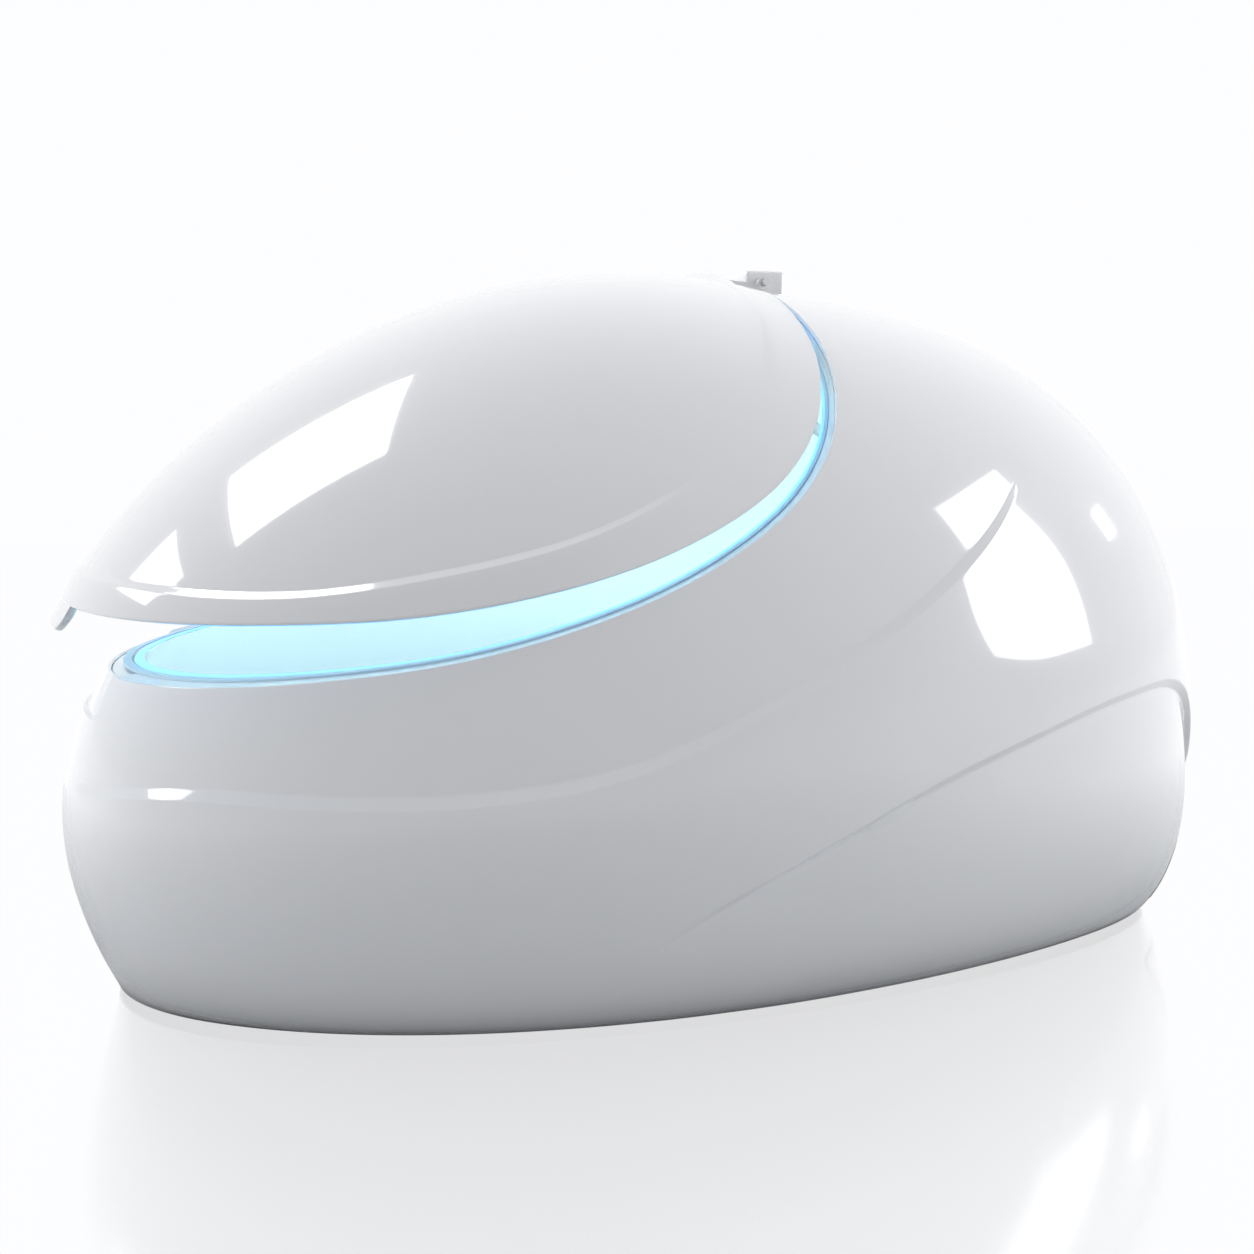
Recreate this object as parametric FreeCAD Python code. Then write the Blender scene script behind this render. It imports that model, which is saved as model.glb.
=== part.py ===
import FreeCAD, Part
import os
from math import cos, degrees, hypot, pi, radians, sin, sqrt

# Flotation tank: an egg-shaped tub with a canopy lid hinged at the crown.
# Millimetres, +Z up.  The foot end and the lid's free edge point to -X, the head end to +X.
# The origin lies on the floor under the middle of the hull.

V = FreeCAD.Vector
X_AXIS, Y_AXIS, Z_AXIS = V(1, 0, 0), V(0, 1, 0), V(0, 0, 1)

# ---------------------------------------------------------------- driving sizes of the hull
HALF_LENGTH = 1225.0
HALF_WIDTH = 790.0
HULL_HEIGHT = 1398.0
HULL_CLEARANCE = 15.0          # hull foot above the floor, filled by the dark plinth
EGG = -0.19                    # plan form: below zero the foot end is the broad one

# Control stations of the hull, foot to crown: height, front reach, rear reach, half width,
# as shares of HULL_HEIGHT, HALF_LENGTH and HALF_WIDTH.
HULL_STATIONS = (
    (0.000, 0.945, 0.967, 0.530),
    (0.054, 0.958, 0.985, 0.797),
    (0.192, 1.016, 1.007, 0.972),
    (0.423, 0.988, 0.992, 1.005),
    (0.773, 0.744, 0.887, 0.825),
    (1.000, 0.292, 0.470, 0.446),
    (1.000, 0.000, 0.000, 0.000),
)

# Side elevations of the styling lines, as shares of HALF_LENGTH and HULL_HEIGHT,
# each run a little past the hull at both ends.
RIM_LINE = (
    (-1.000, 0.474), (-0.867, 0.479), (-0.724, 0.490), (-0.561, 0.508), (-0.401, 0.531), (-0.258, 0.564),
    (-0.128, 0.606), (-0.035, 0.648), (0.059, 0.708), (0.120, 0.780), (0.143, 0.862), (0.135, 0.923),
    (0.122, 0.962), (0.114, 1.005),
)
RIDGE_LINE = (
    (-1.030, 0.334), (-0.964, 0.338), (-0.841, 0.364), (-0.763, 0.377), (-0.547, 0.386), (-0.350, 0.396),
    (-0.251, 0.409), (-0.137, 0.437), (-0.011, 0.484), (0.150, 0.550), (0.281, 0.617), (0.398, 0.697),
    (0.460, 0.752), (0.560, 0.800), (0.760, 0.825),
)
GROOVE_LINE = (
    (-1.030, 0.070), (-0.500, 0.105), (-0.235, 0.169), (-0.084, 0.245), (0.068, 0.308), (0.239, 0.366),
    (0.447, 0.411), (0.575, 0.430), (0.686, 0.437), (0.784, 0.433), (0.869, 0.401), (0.925, 0.340),
    (0.965, 0.262), (1.020, 0.190),
)
LID_LINE = (
    (-1.000, 0.522), (-0.735, 0.532), (-0.532, 0.551), (-0.383, 0.584), (-0.200, 0.640), (-0.114, 0.681),
    (-0.021, 0.744), (0.035, 0.830), (0.062, 0.905), (0.066, 0.960), (0.062, 1.005),
)

# ---------------------------------------------------------------- styling relief
RIDGE_BAND = 21.0              # bevel height of the raised swoosh
RIDGE_RELIEF = 11.0            # the hull stands this proud below the swoosh
RIDGE_REACH = 300.0            # and comes back to the plain egg over this far
RIDGE_FADE_TO = 0.478          # the swoosh runs out here, share of HALF_LENGTH
RIDGE_FADE_LENGTH = 330.0
RIDGE_NOSE_SHARE = 0.35        # how much of the relief is left on the nose
RIDGE_NOSE_LENGTH = 260.0
GROOVE_BAND = 18.0
GROOVE_RELIEF = 14.0           # the skirt below the groove stands back by this
GROOVE_REACH = 280.0
GROOVE_START = -0.245          # share of HALF_LENGTH
GROOVE_FADE_LENGTH = 420.0
LID_BAND = 15.0
LID_RELIEF = 6.0
LID_REACH = 90.0
LID_FADE_TO = 0.0
LID_FADE_LENGTH = 260.0

# ---------------------------------------------------------------- shells
HULL_WALL = 8.0
MOULD_JOINTS = (-0.39, 0.22, 0.67)     # cross joints of the hull, shares of HALF_LENGTH
TUB_WALL = 6.0
LID_WALL = 6.0
LINER_WALL = 5.0
SEAM_GAP = 5.0                 # closed lid edge above the rim
FIT = 0.3                      # clearance between bonded or bolted curved faces
EDGE_GAP = 0.8                 # glue line between a flange and the skin around it
FLOOR_HEIGHT = 265.0           # bathing floor above the ground
# Cabin skin from floor edge to crown: (drop below the hull station, inset from it)
CABIN_FLOOR_INSETS = (330.0, 200.0, 125.0)
CABIN_FLOOR_CURVE = 50.0
CABIN_WALL_INSET = 75.0
CABIN_SHOULDER_INSET = 62.0
CABIN_SHOULDER_DROP = 25.0
CABIN_CROWN_DROP = 62.0
CABIN_CROWN_INSET = 17.0

MERIDIANS = 96                 # guide points around each closed section
STEEP_ANGLE = 84.0             # degrees round from the head end, where they crowd together
CROWDING = 0.75
FLOOR_CROWD = 2.2              # guide rings of the tub crowd towards its floor
LINE_STEPS = 90                # straight pieces that stand for a styling line
BISECTIONS = 26

# ---------------------------------------------------------------- lid and hinge
LID_REST_ANGLE = 5.2           # the lid stands ajar at rest
HINGE_X = 188.0
HINGE_ABOVE_CROWN = 13.0
PIN_RADIUS = 8.0
PIN_LENGTH = 170.0
RUNNING_FIT = 0.05
BUSH_WALL = 3.0
BLOCK_FRONT = 34.0             # hinge block ahead of the axis and behind it
BLOCK_BACK = 52.0
BLOCK_TOP = 29.0
BLOCK_HALF_WIDTH = 45.0
BLOCK_RADIUS = 9.0
ARM_EYE_RADIUS = 13.0
ARM_LIFT = 2.0                 # running room between the arms and the crown
ARM_BAR_DROP = 3.0             # top of the bars below the axis, clear of the fairing
ARM_THICKNESS = 18.0
ARM_SIDE_GAP = 2.0
ARM_REACH = 130.0
ARM_FOOT_LENGTH = 70.0
FAIRING_CENTRE_X = 84.0
FAIRING_RADII = (100.0, 125.0, 45.0)
FAIRING_SINK = 12.0
FAIRING_WALL = 5.0
FAIRING_SEAT = 0.4             # bedding joint between the cover and the crown
FAIRING_REAR_GAP = 12.0

# ---------------------------------------------------------------- closing tongue and its recess
RECESS_HALF_WIDTH = 312.0
RECESS_DROP = 87.0
RECESS_DEPTH = 18.0
RECESS_RADIUS = 35.0
TONGUE_SIDE_GAP = 18.0
TONGUE_DROP = 50.0
TONGUE_THICKNESS = 13.0


# ---------------------------------------------------------------- seal and lights of the rim
SEAL_SHARES = (0.36, 0.56)     # across the flange, from the cabin side to the outside
RIM_LIGHT_SHARES = (0.05, 0.28)
LID_LIGHT_SHARES = (0.62, 0.86)
SEAL_HEIGHT = 3.6
LIGHT_HEIGHT = 2.2

# ---------------------------------------------------------------- gas struts
STRUT_Y = HALF_WIDTH / 2
STRUT_LID_POINT = (99.0, 1182.0)       # x and z with the lid shut
STRUT_TUB_POINT = (360.0, 1000.0)
STRUT_CYLINDER_RADIUS = 11.0
STRUT_CYLINDER_BORE = 8.6
STRUT_CYLINDER_LENGTH = 280.0
STRUT_ROD_RADIUS = 5.0
STRUT_PISTON_RADIUS = 8.4
STRUT_PISTON_LENGTH = 10.0
STRUT_PISTON_START = 54.0      # piston's lower end from the lower pivot, with the lid at rest
STRUT_SOCKET_RADIUS = 9.0
ROD_EYE_RADIUS = 12.0
STRUT_SOCKET_WIDTH = 14.0
STUD_RADIUS = 5.0
STUD_POST_RADIUS = 12.0
STUD_END = 5.0                 # stud beyond the socket on each side
OPEN_PIVOT_GAP = 1.0           # the lid's stud ends this far beside the rod's eye, an open pivot
OPEN_PIVOT_REACH = STRUT_SOCKET_WIDTH / 2 + OPEN_PIVOT_GAP

# ---------------------------------------------------------------- plinth, frame and feet
PLINTH_INSET = 25.0
PLINTH_WALL = 6.0
PLINTH_LIFT = 2.0
PLINTH_TOP = 42.0
PLINTH_FLANGE = 6.0
RAIL_Y = 240.0
RAIL_HALF_LENGTH = 760.0
RAIL_WIDTH = 50.0
RAIL_HEIGHT = 40.0
RAIL_WALL = 3.0
RAIL_BASE = 60.0
CROSS_X = (-700.0, -233.0, 233.0, 700.0)
CROSS_WIDTH = 40.0
CROSS_HEIGHT = 38.0
FOOT_X = (-600.0, 0.0, 600.0)
FOOT_PAD_RADIUS = 40.0
FOOT_PAD_HEIGHT = 15.0
FOOT_STEM_RADIUS = 9.0
FOOT_PLATE_RADIUS = 22.0
FOOT_PLATE_HEIGHT = 5.0
TRAY_FRONT = -300.0
TRAY_REAR = 745.0
TRAY_HALF_WIDTH = 298.0
TRAY_THICKNESS = 3.0
BRACKET_X = (-520.0, 0.0, 520.0)
BRACKET_WIDTH = 40.0
BRACKET_HEIGHT = 30.0

# ---------------------------------------------------------------- water circuit
PIPE_RADIUS = 19.0
PIPE_WALL = 3.0
BEND_RADIUS = 34.0
PORT_RADIUS = 24.0             # union collars on the machines
PORT_LENGTH = 25.0
CIRCUIT_HEIGHT = 180.0         # axis of every machine in the water circuit
PUMP_LANE = -180.0             # y of pump and filter
HEAT_LANE = 20.0               # y of steriliser and heater
PUMP_FRONT = 600.0             # x where the volute starts
VOLUTE_LENGTH = 65.0
VOLUTE_RADIUS = 65.0
VOLUTE_WALL = 7.0
IMPELLER_GAP = 4.0
SHAFT_RADIUS = 7.0
FIN_START = 20.0               # cooling fins of the motor
FIN_HALF_WIDTH = 1.2
MOTOR_LENGTH = 210.0
MOTOR_RADIUS = 58.0
MOTOR_FINS = 24
MOTOR_FIN_DEPTH = 5.0
FILTER_HALF_LENGTH = 160.0
FILTER_RADIUS = 65.0
FILTER_WALL = 5.0
FILTER_END = 30.0
FILTER_PORT_X = -120.0
CAP_LENGTH = 34.0
CAP_RADIUS = 70.0
CARTRIDGE_RADIUS = 48.0
CARTRIDGE_BORE = 18.0
STERILISER_HALF_LENGTH = 170.0
STERILISER_RADIUS = 38.0
HEATER_FRONT = 400.0
HEATER_LENGTH = 240.0
HEATER_RADIUS = 32.0
SADDLE_LENGTH = 30.0
DRAIN_X = 790.0
RETURN_X, RETURN_Y = 615.0, 160.0
WASTE_X = -780.0
WASTE_RUN = 150.0
FITTING_RADIUS = 32.0
FITTING_FLANGE_RADIUS = 48.0
FITTING_FLANGE = 5.0
FITTING_DROP = 42.0
GRILLE_RADIUS = 44.0
GRILLE_HEIGHT = 6.0
GRILLE_SLOTS = 5
GRILLE_SLOT_WIDTH = 5.0
VALVE_LENGTH = 80.0
VALVE_RADIUS = 27.0
HANDLE_LENGTH = 90.0
HANDLE_WIDTH = 20.0

# ---------------------------------------------------------------- lights, air, controls
TUB_LIGHT_HEIGHT = 400.0
TUB_LIGHT_RADIUS = 36.0
TUB_LIGHT_DEPTH = 28.0
TUB_LIGHT_FLANGE = 46.0
LIGHT_FLANGE_DEPTH = 7.0
CUP_WALL = 4.0                 # wall and back of a lamp cup
LENS_DEPTH = 6.0
FAN_HEIGHT = 900.0
FAN_SIZE = 92.0
FAN_DEPTH = 25.0
FAN_BORE = 41.0
FAN_HUB_RADIUS = 17.0
FAN_BLADES = 7
FAN_SHAFT_RADIUS = 3.0
SPIDER_BAR = 5.0
SPIDER_DEPTH = 4.0
VENT_SIZE = 108.0
VENT_PITCH = 11.0
VENT_DEPTH = 4.0
PANEL_X = -250.0
PANEL_HEIGHT = 700.0
PANEL_LENGTH = 150.0
PANEL_WIDTH = 62.0
PANEL_DEPTH = 12.0
BUTTON_RADIUS = 18.0
BUTTON_SPACING = 60.0
BUTTON_PROUD = 5.0
BUTTON_TRAVEL = 3.0
BUTTON_FIT = 0.4
CONTROL_BOX = (260.0, 160.0, 84.0)
CONTROL_BOX_X, CONTROL_BOX_Y = 425.0, 205.0
CONTROL_LID = 8.0
EXCITER_X, EXCITER_Y = -450.0, 150.0
EXCITER_RADIUS = 42.0
EXCITER_DEPTH = 24.0
GLAND_HEIGHT = 105.0
GLAND_ANGLE = 33.0             # degrees round from the head end
GLAND_RADIUS = 12.0
GLAND_NUT_RADIUS = 18.0
GLAND_BORE = 6.0
GLAND_INSIDE = 26.0
GLAND_OUTSIDE = 16.0
GRAB_SPAN = 200.0
GRAB_RADIUS = 10.0
GRAB_STANDOFF = 42.0
GRAB_FOOT_RADIUS = 19.0
GRAB_HEIGHT = 830.0            # above the ground with the lid shut

# ---------------------------------------------------------------- rear service panel
PANEL_BOTTOM = 70.0
PANEL_TOP = 232.0
SERVICE_HALF_WIDTH = 210.0
SERVICE_RADIUS = 26.0
SERVICE_GAP = 1.6
CLIP_SIZE = 44.0
CLIP_DEPTH = 10.0
SCREW_RADIUS = 6.0
SCREW_HEAD = 2.0


# ================================================================ geometry tools
def open_spline(points):
    """Smooth curve through the points."""
    curve = Part.BSplineCurve()
    curve.interpolate(points)
    return curve


def station_spline(points):
    """Clamped cubic spline whose poles are the stations, with its parameter from 0 to 1."""
    spans = len(points) - 3
    knots = [i / spans for i in range(spans + 1)]
    mults = [4] + [1] * (spans - 1) + [4]
    curve = Part.BSplineCurve()
    curve.buildFromPolesMultsKnots(points, mults, knots, False, 3)
    return curve


def smooth_step(value):
    """0 below 0, 1 above 1, with level ends."""
    value = min(max(value, 0.0), 1.0)
    return value * value * (3.0 - 2.0 * value)


class Skin:
    """Egg-shaped skin: half-ellipse sections that grow and shrink over the height."""

    def __init__(self, stations):
        self.reach = station_spline([V(front, rear, height) for height, front, rear, half in stations])
        self.width = station_spline([V(half, 0, 0) for height, front, rear, half in stations])

    def point(self, angle, level):
        level = min(max(level, 0.0), 1.0)
        reach = self.reach.value(level)
        half = self.width.value(level).x
        middle, stretch = (reach.y - reach.x) / 2, (reach.y + reach.x) / 2
        along = cos(angle)
        return V(middle + stretch * along, half * sin(angle) * (1 + EGG * along), reach.z)

    def upward(self, angle, level, step=0.002):
        """Tangent of the meridian, pointing to the crown, per unit of level."""
        low, high = max(level - step, 0.0), min(level + step, 1.0)
        return (self.point(angle, high) - self.point(angle, low)) / (high - low)

    def normal(self, angle, level, step=0.002):
        level = min(level, 0.995)
        around = self.point(angle + step, level) - self.point(angle - step, level)
        return around.cross(self.upward(angle, level)).normalize()

    def offset(self, angle, level, distance):
        """Point on the skin moved outward along the normal."""
        return self.point(angle, level) + self.normal(angle, level) * distance

    def level_at(self, height):
        low, high = 0.0, 1.0
        for _ in range(BISECTIONS):
            middle = (low + high) / 2
            low, high = (middle, high) if self.reach.value(middle).z < height else (low, middle)
        return (low + high) / 2

    def crossing(self, angle, line):
        """Level at which the meridian crosses a line drawn in the side elevation."""
        low, high = 0.0, 1.0
        for _ in range(BISECTIONS):
            middle = (low + high) / 2
            point = self.point(angle, middle)
            low, high = (low, middle) if above(line, point.x, point.z) else (middle, high)
        return (low + high) / 2


def above(line, x, z):
    """True on the crown side of the line, taken from its nearest piece."""
    nearest, side = None, False
    for (ax, az), (bx, bz) in zip(line, line[1:]):
        dx, dz = bx - ax, bz - az
        share = ((x - ax) * dx + (z - az) * dz) / (dx * dx + dz * dz)
        share = min(max(share, 0.0), 1.0)
        gap = hypot(x - ax - share * dx, z - az - share * dz)
        if nearest is None or gap < nearest:
            nearest, side = gap, dx * (z - az) - dz * (x - ax) > 0
    return side


def side_line(shares):
    """Styling line as short straight pieces, from its shares of the hull's size."""
    curve = open_spline([V(x * HALF_LENGTH, 0, HULL_CLEARANCE + z * HULL_HEIGHT) for x, z in shares])
    first, last = curve.FirstParameter, curve.LastParameter
    points = [curve.value(first + (last - first) * i / LINE_STEPS) for i in range(LINE_STEPS + 1)]
    return [(point.x, point.z) for point in points]


def shifted(line, distance):
    """Side-view line moved to its crown side."""
    moved = []
    for before, after, (x, z) in zip(line[:1] + line, line[1:] + line[-1:], line):
        dx, dz = after[0] - before[0], after[1] - before[1]
        moved.append((x - dz / hypot(dx, dz) * distance, z + dx / hypot(dx, dz) * distance))
    return moved


def meridian_angle(index):
    """Angle of a meridian; they stand closer where the rim climbs the dome."""
    even, dense = 2 * pi * index / MERIDIANS, radians(STEEP_ANGLE)
    return even - (sin(2 * (even - dense)) + sin(2 * dense)) * CROWDING / 2


def mirrored(values):
    """Values found on the near half, angles 0 to pi, repeated for the far half."""
    return values + values[-2:0:-1]


NEAR_ANGLES = [meridian_angle(i) for i in range(MERIDIANS // 2 + 1)]
ANGLES = NEAR_ANGLES + [2 * pi - angle for angle in NEAR_ANGLES[-2:0:-1]]


def traced(skin, line):
    return mirrored([skin.crossing(angle, line) for angle in NEAR_ANGLES])


def stepped(skin, levels, distances):
    """Levels moved up their meridians by a distance in millimetres."""
    moved = []
    for angle, level, distance in zip(ANGLES, levels, distances):
        moved.append(level + distance / skin.upward(angle, level).Length)
    return moved


def between(lower, upper, share):
    return [low + (high - low) * share for low, high in zip(lower, upper)]


def ring(points):
    """Closed smooth wire through the points, one on each meridian."""
    curve = Part.BSplineCurve()
    curve.interpolate(Points=points, PeriodicFlag=True, Parameters=[float(i) for i in range(len(points) + 1)])
    return Part.Wire([curve.toShape()])


def across(points, parameters):
    """Curve through points, one on each ring, at shared parameters."""
    curve = Part.BSplineCurve()
    curve.interpolate(Points=points, Parameters=parameters)
    return curve


def skin_faces(rings, tip=None):
    """Face through closed rings, and up to the tip if there is one."""
    columns = [ring.Edges[0].Curve.getPoles() for ring in rings]
    if tip:
        columns.append([tip] * len(columns[0]))
    parameters = [0.0]
    for before, after in zip(columns, columns[1:]):
        steps = [(b - a).Length for a, b in zip(before, after)]
        parameters.append(parameters[-1] + sum(steps) / len(steps))
    curves = [across(list(poles), parameters) for poles in zip(*columns)]
    sample = curves[0]
    around = rings[0].Edges[0].Curve
    surface = Part.BSplineSurface()
    surface.buildFromPolesMultsKnots([curve.getPoles() for curve in curves], around.getMultiplicities(),
                                     sample.getMultiplicities(), around.getKnots(), sample.getKnots(),
                                     True, False, around.Degree, sample.Degree)
    return surface.toShape().Faces


def band_faces(first, second):
    return Part.makeRuledSurface(first, second).Faces


def closed_solid(faces):
    """One solid from faces that share their edges."""
    shell = Part.Compound(faces)
    shell.sewShape(0.05)
    solid = Part.Solid(shell.Shells[0])
    if solid.Volume < 0:
        solid.reverse()
    return solid


def strip_stack(groups):
    """Faces of a skin made of strips; groups are lists of rings that share their end rings."""
    faces = []
    for rings in groups:
        faces += skin_faces(rings)
    return faces


def prism(outline, direction):
    """Solid from a closed wire pushed along a vector."""
    return Part.Face(outline).extrude(direction)


def rounded_outline(width, height, radius, place):
    """Rounded rectangle in the plane of the placement, centred on it."""
    half_w, half_h = width / 2, height / 2
    edges = []
    corners = ((half_w, half_h, 0), (-half_w, half_h, 90), (-half_w, -half_h, 180), (half_w, -half_h, 270))
    arcs = []
    for x, y, start in corners:
        centre = V(x - radius * (1 if x > 0 else -1), y - radius * (1 if y > 0 else -1), 0)
        arcs.append(Part.makeCircle(radius, centre, Z_AXIS, start, start + 90))
    for arc, following in zip(arcs, arcs[1:] + arcs[:1]):
        edges += [arc, Part.makeLine(arc.Vertexes[-1].Point, following.Vertexes[0].Point)]
    wire = Part.Wire(edges)
    wire.Placement = place
    return wire


def rounded_plate(width, height, radius, thickness, place):
    """Plate on the placement's plane, growing along its own Z."""
    plate = Part.Face(rounded_outline(width, height, radius, FreeCAD.Placement())).extrude(V(0, 0, thickness))
    plate.Placement = place
    return plate


def facing(base, direction):
    """Placement with its own Z along the direction and its own X level."""
    side = Z_AXIS.cross(direction).normalize()
    return FreeCAD.Placement(base, FreeCAD.Rotation(side, direction.cross(side), direction, "ZXY"))


def cylinder(radius, base, direction, length):
    return Part.makeCylinder(radius, length, base, direction)


def tube(outer, inner, base, direction, length):
    return cylinder(outer, base, direction, length).cut(cylinder(inner, base, direction, length))


def box(low, high):
    return Part.makeBox(high.x - low.x, high.y - low.y, high.z - low.z, low)


def fused(shapes):
    whole = shapes[0]
    for shape in shapes[1:]:
        whole = whole.fuse(shape)
    return whole.removeSplitter()


def without(shape, cutters):
    for cutter in cutters:
        shape = shape.cut(cutter)
    return shape


def group(shapes):
    """Several separate solids that share one node."""
    solids = []
    for shape in shapes:
        solids += shape.Solids
    return Part.Compound(solids)


# ================================================================ hull and cabin skins
def hull_stations():
    return [(HULL_CLEARANCE + height * HULL_HEIGHT, front * HALF_LENGTH, rear * HALF_LENGTH,
             half * HALF_WIDTH)
            for height, front, rear, half in HULL_STATIONS]


def cabin_stations():
    hull = hull_stations()
    floor = hull[2]
    stations = []
    for inset, rise in zip(CABIN_FLOOR_INSETS, (0.0, 0.0, CABIN_FLOOR_CURVE)):
        stations.append((FLOOR_HEIGHT + rise, floor[1] - inset, floor[2] - inset, floor[3] - inset))
    walls = ((hull[3], 0.0, CABIN_WALL_INSET), (hull[4], CABIN_SHOULDER_DROP, CABIN_SHOULDER_INSET),
             (hull[5], CABIN_CROWN_DROP, CABIN_CROWN_INSET))
    for station, drop, inset in walls:
        stations.append((station[0] - drop, station[1] - inset, station[2] - inset, station[3] - inset))
    stations.append((hull[6][0] - CABIN_CROWN_DROP, 0.0, 0.0, 0.0))
    return stations


HULL = Skin(hull_stations())
CABIN = Skin(cabin_stations())
CROWN = HULL_CLEARANCE + HULL_HEIGHT
HINGE = V(HINGE_X, 0, CROWN + HINGE_ABOVE_CROWN)

SEAM = side_line(RIM_LINE)
RIM = traced(HULL, SEAM)
RIM_LOW = traced(HULL, shifted(SEAM, -TUB_WALL))
CABIN_RIM = traced(CABIN, SEAM)
CABIN_LOW = traced(CABIN, shifted(SEAM, -TUB_WALL))
LID_EDGE = traced(HULL, shifted(SEAM, SEAM_GAP))
LID_EDGE_HIGH = traced(HULL, shifted(SEAM, SEAM_GAP + LINER_WALL))
LINER_EDGE = traced(CABIN, shifted(SEAM, SEAM_GAP))
LINER_HIGH = traced(CABIN, shifted(SEAM, SEAM_GAP + LINER_WALL))
RIDGE_TOP = traced(HULL, side_line(RIDGE_LINE))
RIDGE_FOOT = stepped(HULL, RIDGE_TOP, [-RIDGE_BAND] * MERIDIANS)
GROOVE_TOP = traced(HULL, side_line(GROOVE_LINE))
GROOVE_FOOT = stepped(HULL, GROOVE_TOP, [-GROOVE_BAND] * MERIDIANS)
LID_TOP = traced(HULL, side_line(LID_LINE))
LID_FOOT = stepped(HULL, LID_TOP, [-LID_BAND] * MERIDIANS)
FOOT = [0.0] * MERIDIANS


def ridge_strength(index):
    x = HULL.point(ANGLES[index], RIDGE_TOP[index]).x
    tail = smooth_step((RIDGE_FADE_TO * HALF_LENGTH - x) / RIDGE_FADE_LENGTH)
    nose = smooth_step((x + HALF_LENGTH) / RIDGE_NOSE_LENGTH)
    return tail * (RIDGE_NOSE_SHARE + (1 - RIDGE_NOSE_SHARE) * nose)


def groove_strength(index):
    x = HULL.point(ANGLES[index], GROOVE_TOP[index]).x
    return smooth_step((x - GROOVE_START * HALF_LENGTH) / GROOVE_FADE_LENGTH)


def lid_strength(index):
    x = HULL.point(ANGLES[index], LID_TOP[index]).x
    return smooth_step((LID_FADE_TO * HALF_LENGTH - x) / LID_FADE_LENGTH)


def along(skin, index, first, second):
    """Distance between two levels of one meridian."""
    return (skin.point(ANGLES[index], first) - skin.point(ANGLES[index], second)).Length


def relief(index, level):
    """How far the body stands out from the plain egg: proud under the swoosh, back under the groove."""
    if level >= RIDGE_TOP[index]:
        return 0.0
    depth = min(along(HULL, index, level, RIDGE_TOP[index]) / RIDGE_BAND, 1.0)
    foot = RIDGE_FOOT[index]
    fall = 1.0 - smooth_step(along(HULL, index, min(level, foot), foot) / RIDGE_REACH)
    out = RIDGE_RELIEF * ridge_strength(index) * depth * fall
    if level < GROOVE_TOP[index]:
        depth = min(along(HULL, index, level, GROOVE_TOP[index]) / GROOVE_BAND, 1.0)
        foot = GROOVE_FOOT[index]
        fall = 1.0 - smooth_step(along(HULL, index, min(level, foot), foot) / GROOVE_REACH)
        out -= GROOVE_RELIEF * groove_strength(index) * depth * fall
    return out


def lid_relief(index, level):
    if level >= LID_TOP[index]:
        return 0.0
    depth = min(along(HULL, index, level, LID_TOP[index]) / LID_BAND, 1.0)
    foot = LID_FOOT[index]
    fall = 1.0 - smooth_step(along(HULL, index, min(level, foot), foot) / LID_REACH)
    return LID_RELIEF * lid_strength(index) * depth * fall


def skin_ring(skin, levels, distance=0.0, shape=None):
    """Ring along levels of a skin, moved outward by a distance and the relief."""
    points = []
    for index, (angle, level) in enumerate(zip(ANGLES, levels)):
        out = distance + (shape(index, level) if shape else 0.0)
        points.append(skin.offset(angle, level, out) if out else skin.point(angle, level))
    return ring(points)


def strip(skin, upper, lower, parts, distance, shape=None, crowd=1.0):
    """Rings from one line down to another, closer to the lower one if crowd is above 1."""
    shares = [1 - (1 - i / parts) ** crowd for i in range(parts + 1)]
    return [skin_ring(skin, between(upper, lower, share), distance, shape) for share in shares]


def chained(groups):
    """Makes each strip start on the ring that ended the one before."""
    for before, after in zip(groups, groups[1:]):
        after[0] = before[-1]
    return groups


def body_strips(distance):
    """Strips of the body from rim to foot at a distance from its outer face."""
    return chained([
        strip(HULL, RIM, RIDGE_TOP, 6, distance, relief),
        strip(HULL, RIDGE_TOP, RIDGE_FOOT, 1, distance, relief),
        strip(HULL, RIDGE_FOOT, GROOVE_TOP, 4, distance, relief),
        strip(HULL, GROOVE_TOP, GROOVE_FOOT, 1, distance, relief),
        strip(HULL, GROOVE_FOOT, FOOT, 4, distance, relief),
    ])


def body_wall(outer, inner):
    """Closed wall between two distances from the outer face of the body."""
    out, back = body_strips(outer), body_strips(inner)
    faces = strip_stack(out) + strip_stack(back)
    faces += band_faces(out[0][0], back[0][0]) + band_faces(out[-1][-1], back[-1][-1])
    return closed_solid(faces)


def flat_ring(skin, level, distance, height):
    """Level ring at a height, moved outward in plan."""
    points = []
    for angle in ANGLES:
        out = skin.normal(angle, level)
        out = V(out.x, out.y, 0).normalize()
        base = skin.point(angle, level)
        points.append(V(base.x, base.y, height) + out * distance)
    return ring(points)


def skin_solid(skin, distance, lowest):
    """Closed solid inside a skin moved outward by a distance, flat at the bottom."""
    shares = (0.12, 0.25, 0.4, 0.55, 0.7, 0.82, 0.92, 0.98)
    levels = [lowest + (1.0 - lowest) * share for share in shares]
    base = flat_ring(skin, lowest, distance, skin.point(0, lowest).z)
    rings = [base] + [skin_ring(skin, [level] * MERIDIANS, distance) for level in levels]
    crown = skin.point(0, 1.0) + Z_AXIS * distance
    return closed_solid(skin_faces(rings, crown) + [Part.Face(base)])


def crown_rings(skin, edge, parts, distance, shape=None):
    """Rings from an edge line towards the crown, short of the crown itself."""
    shares = [0.93 * i / parts for i in range(parts + 1)]
    top = [1.0] * MERIDIANS
    return [skin_ring(skin, between(edge, top, share), distance, shape) for share in shares]


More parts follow.
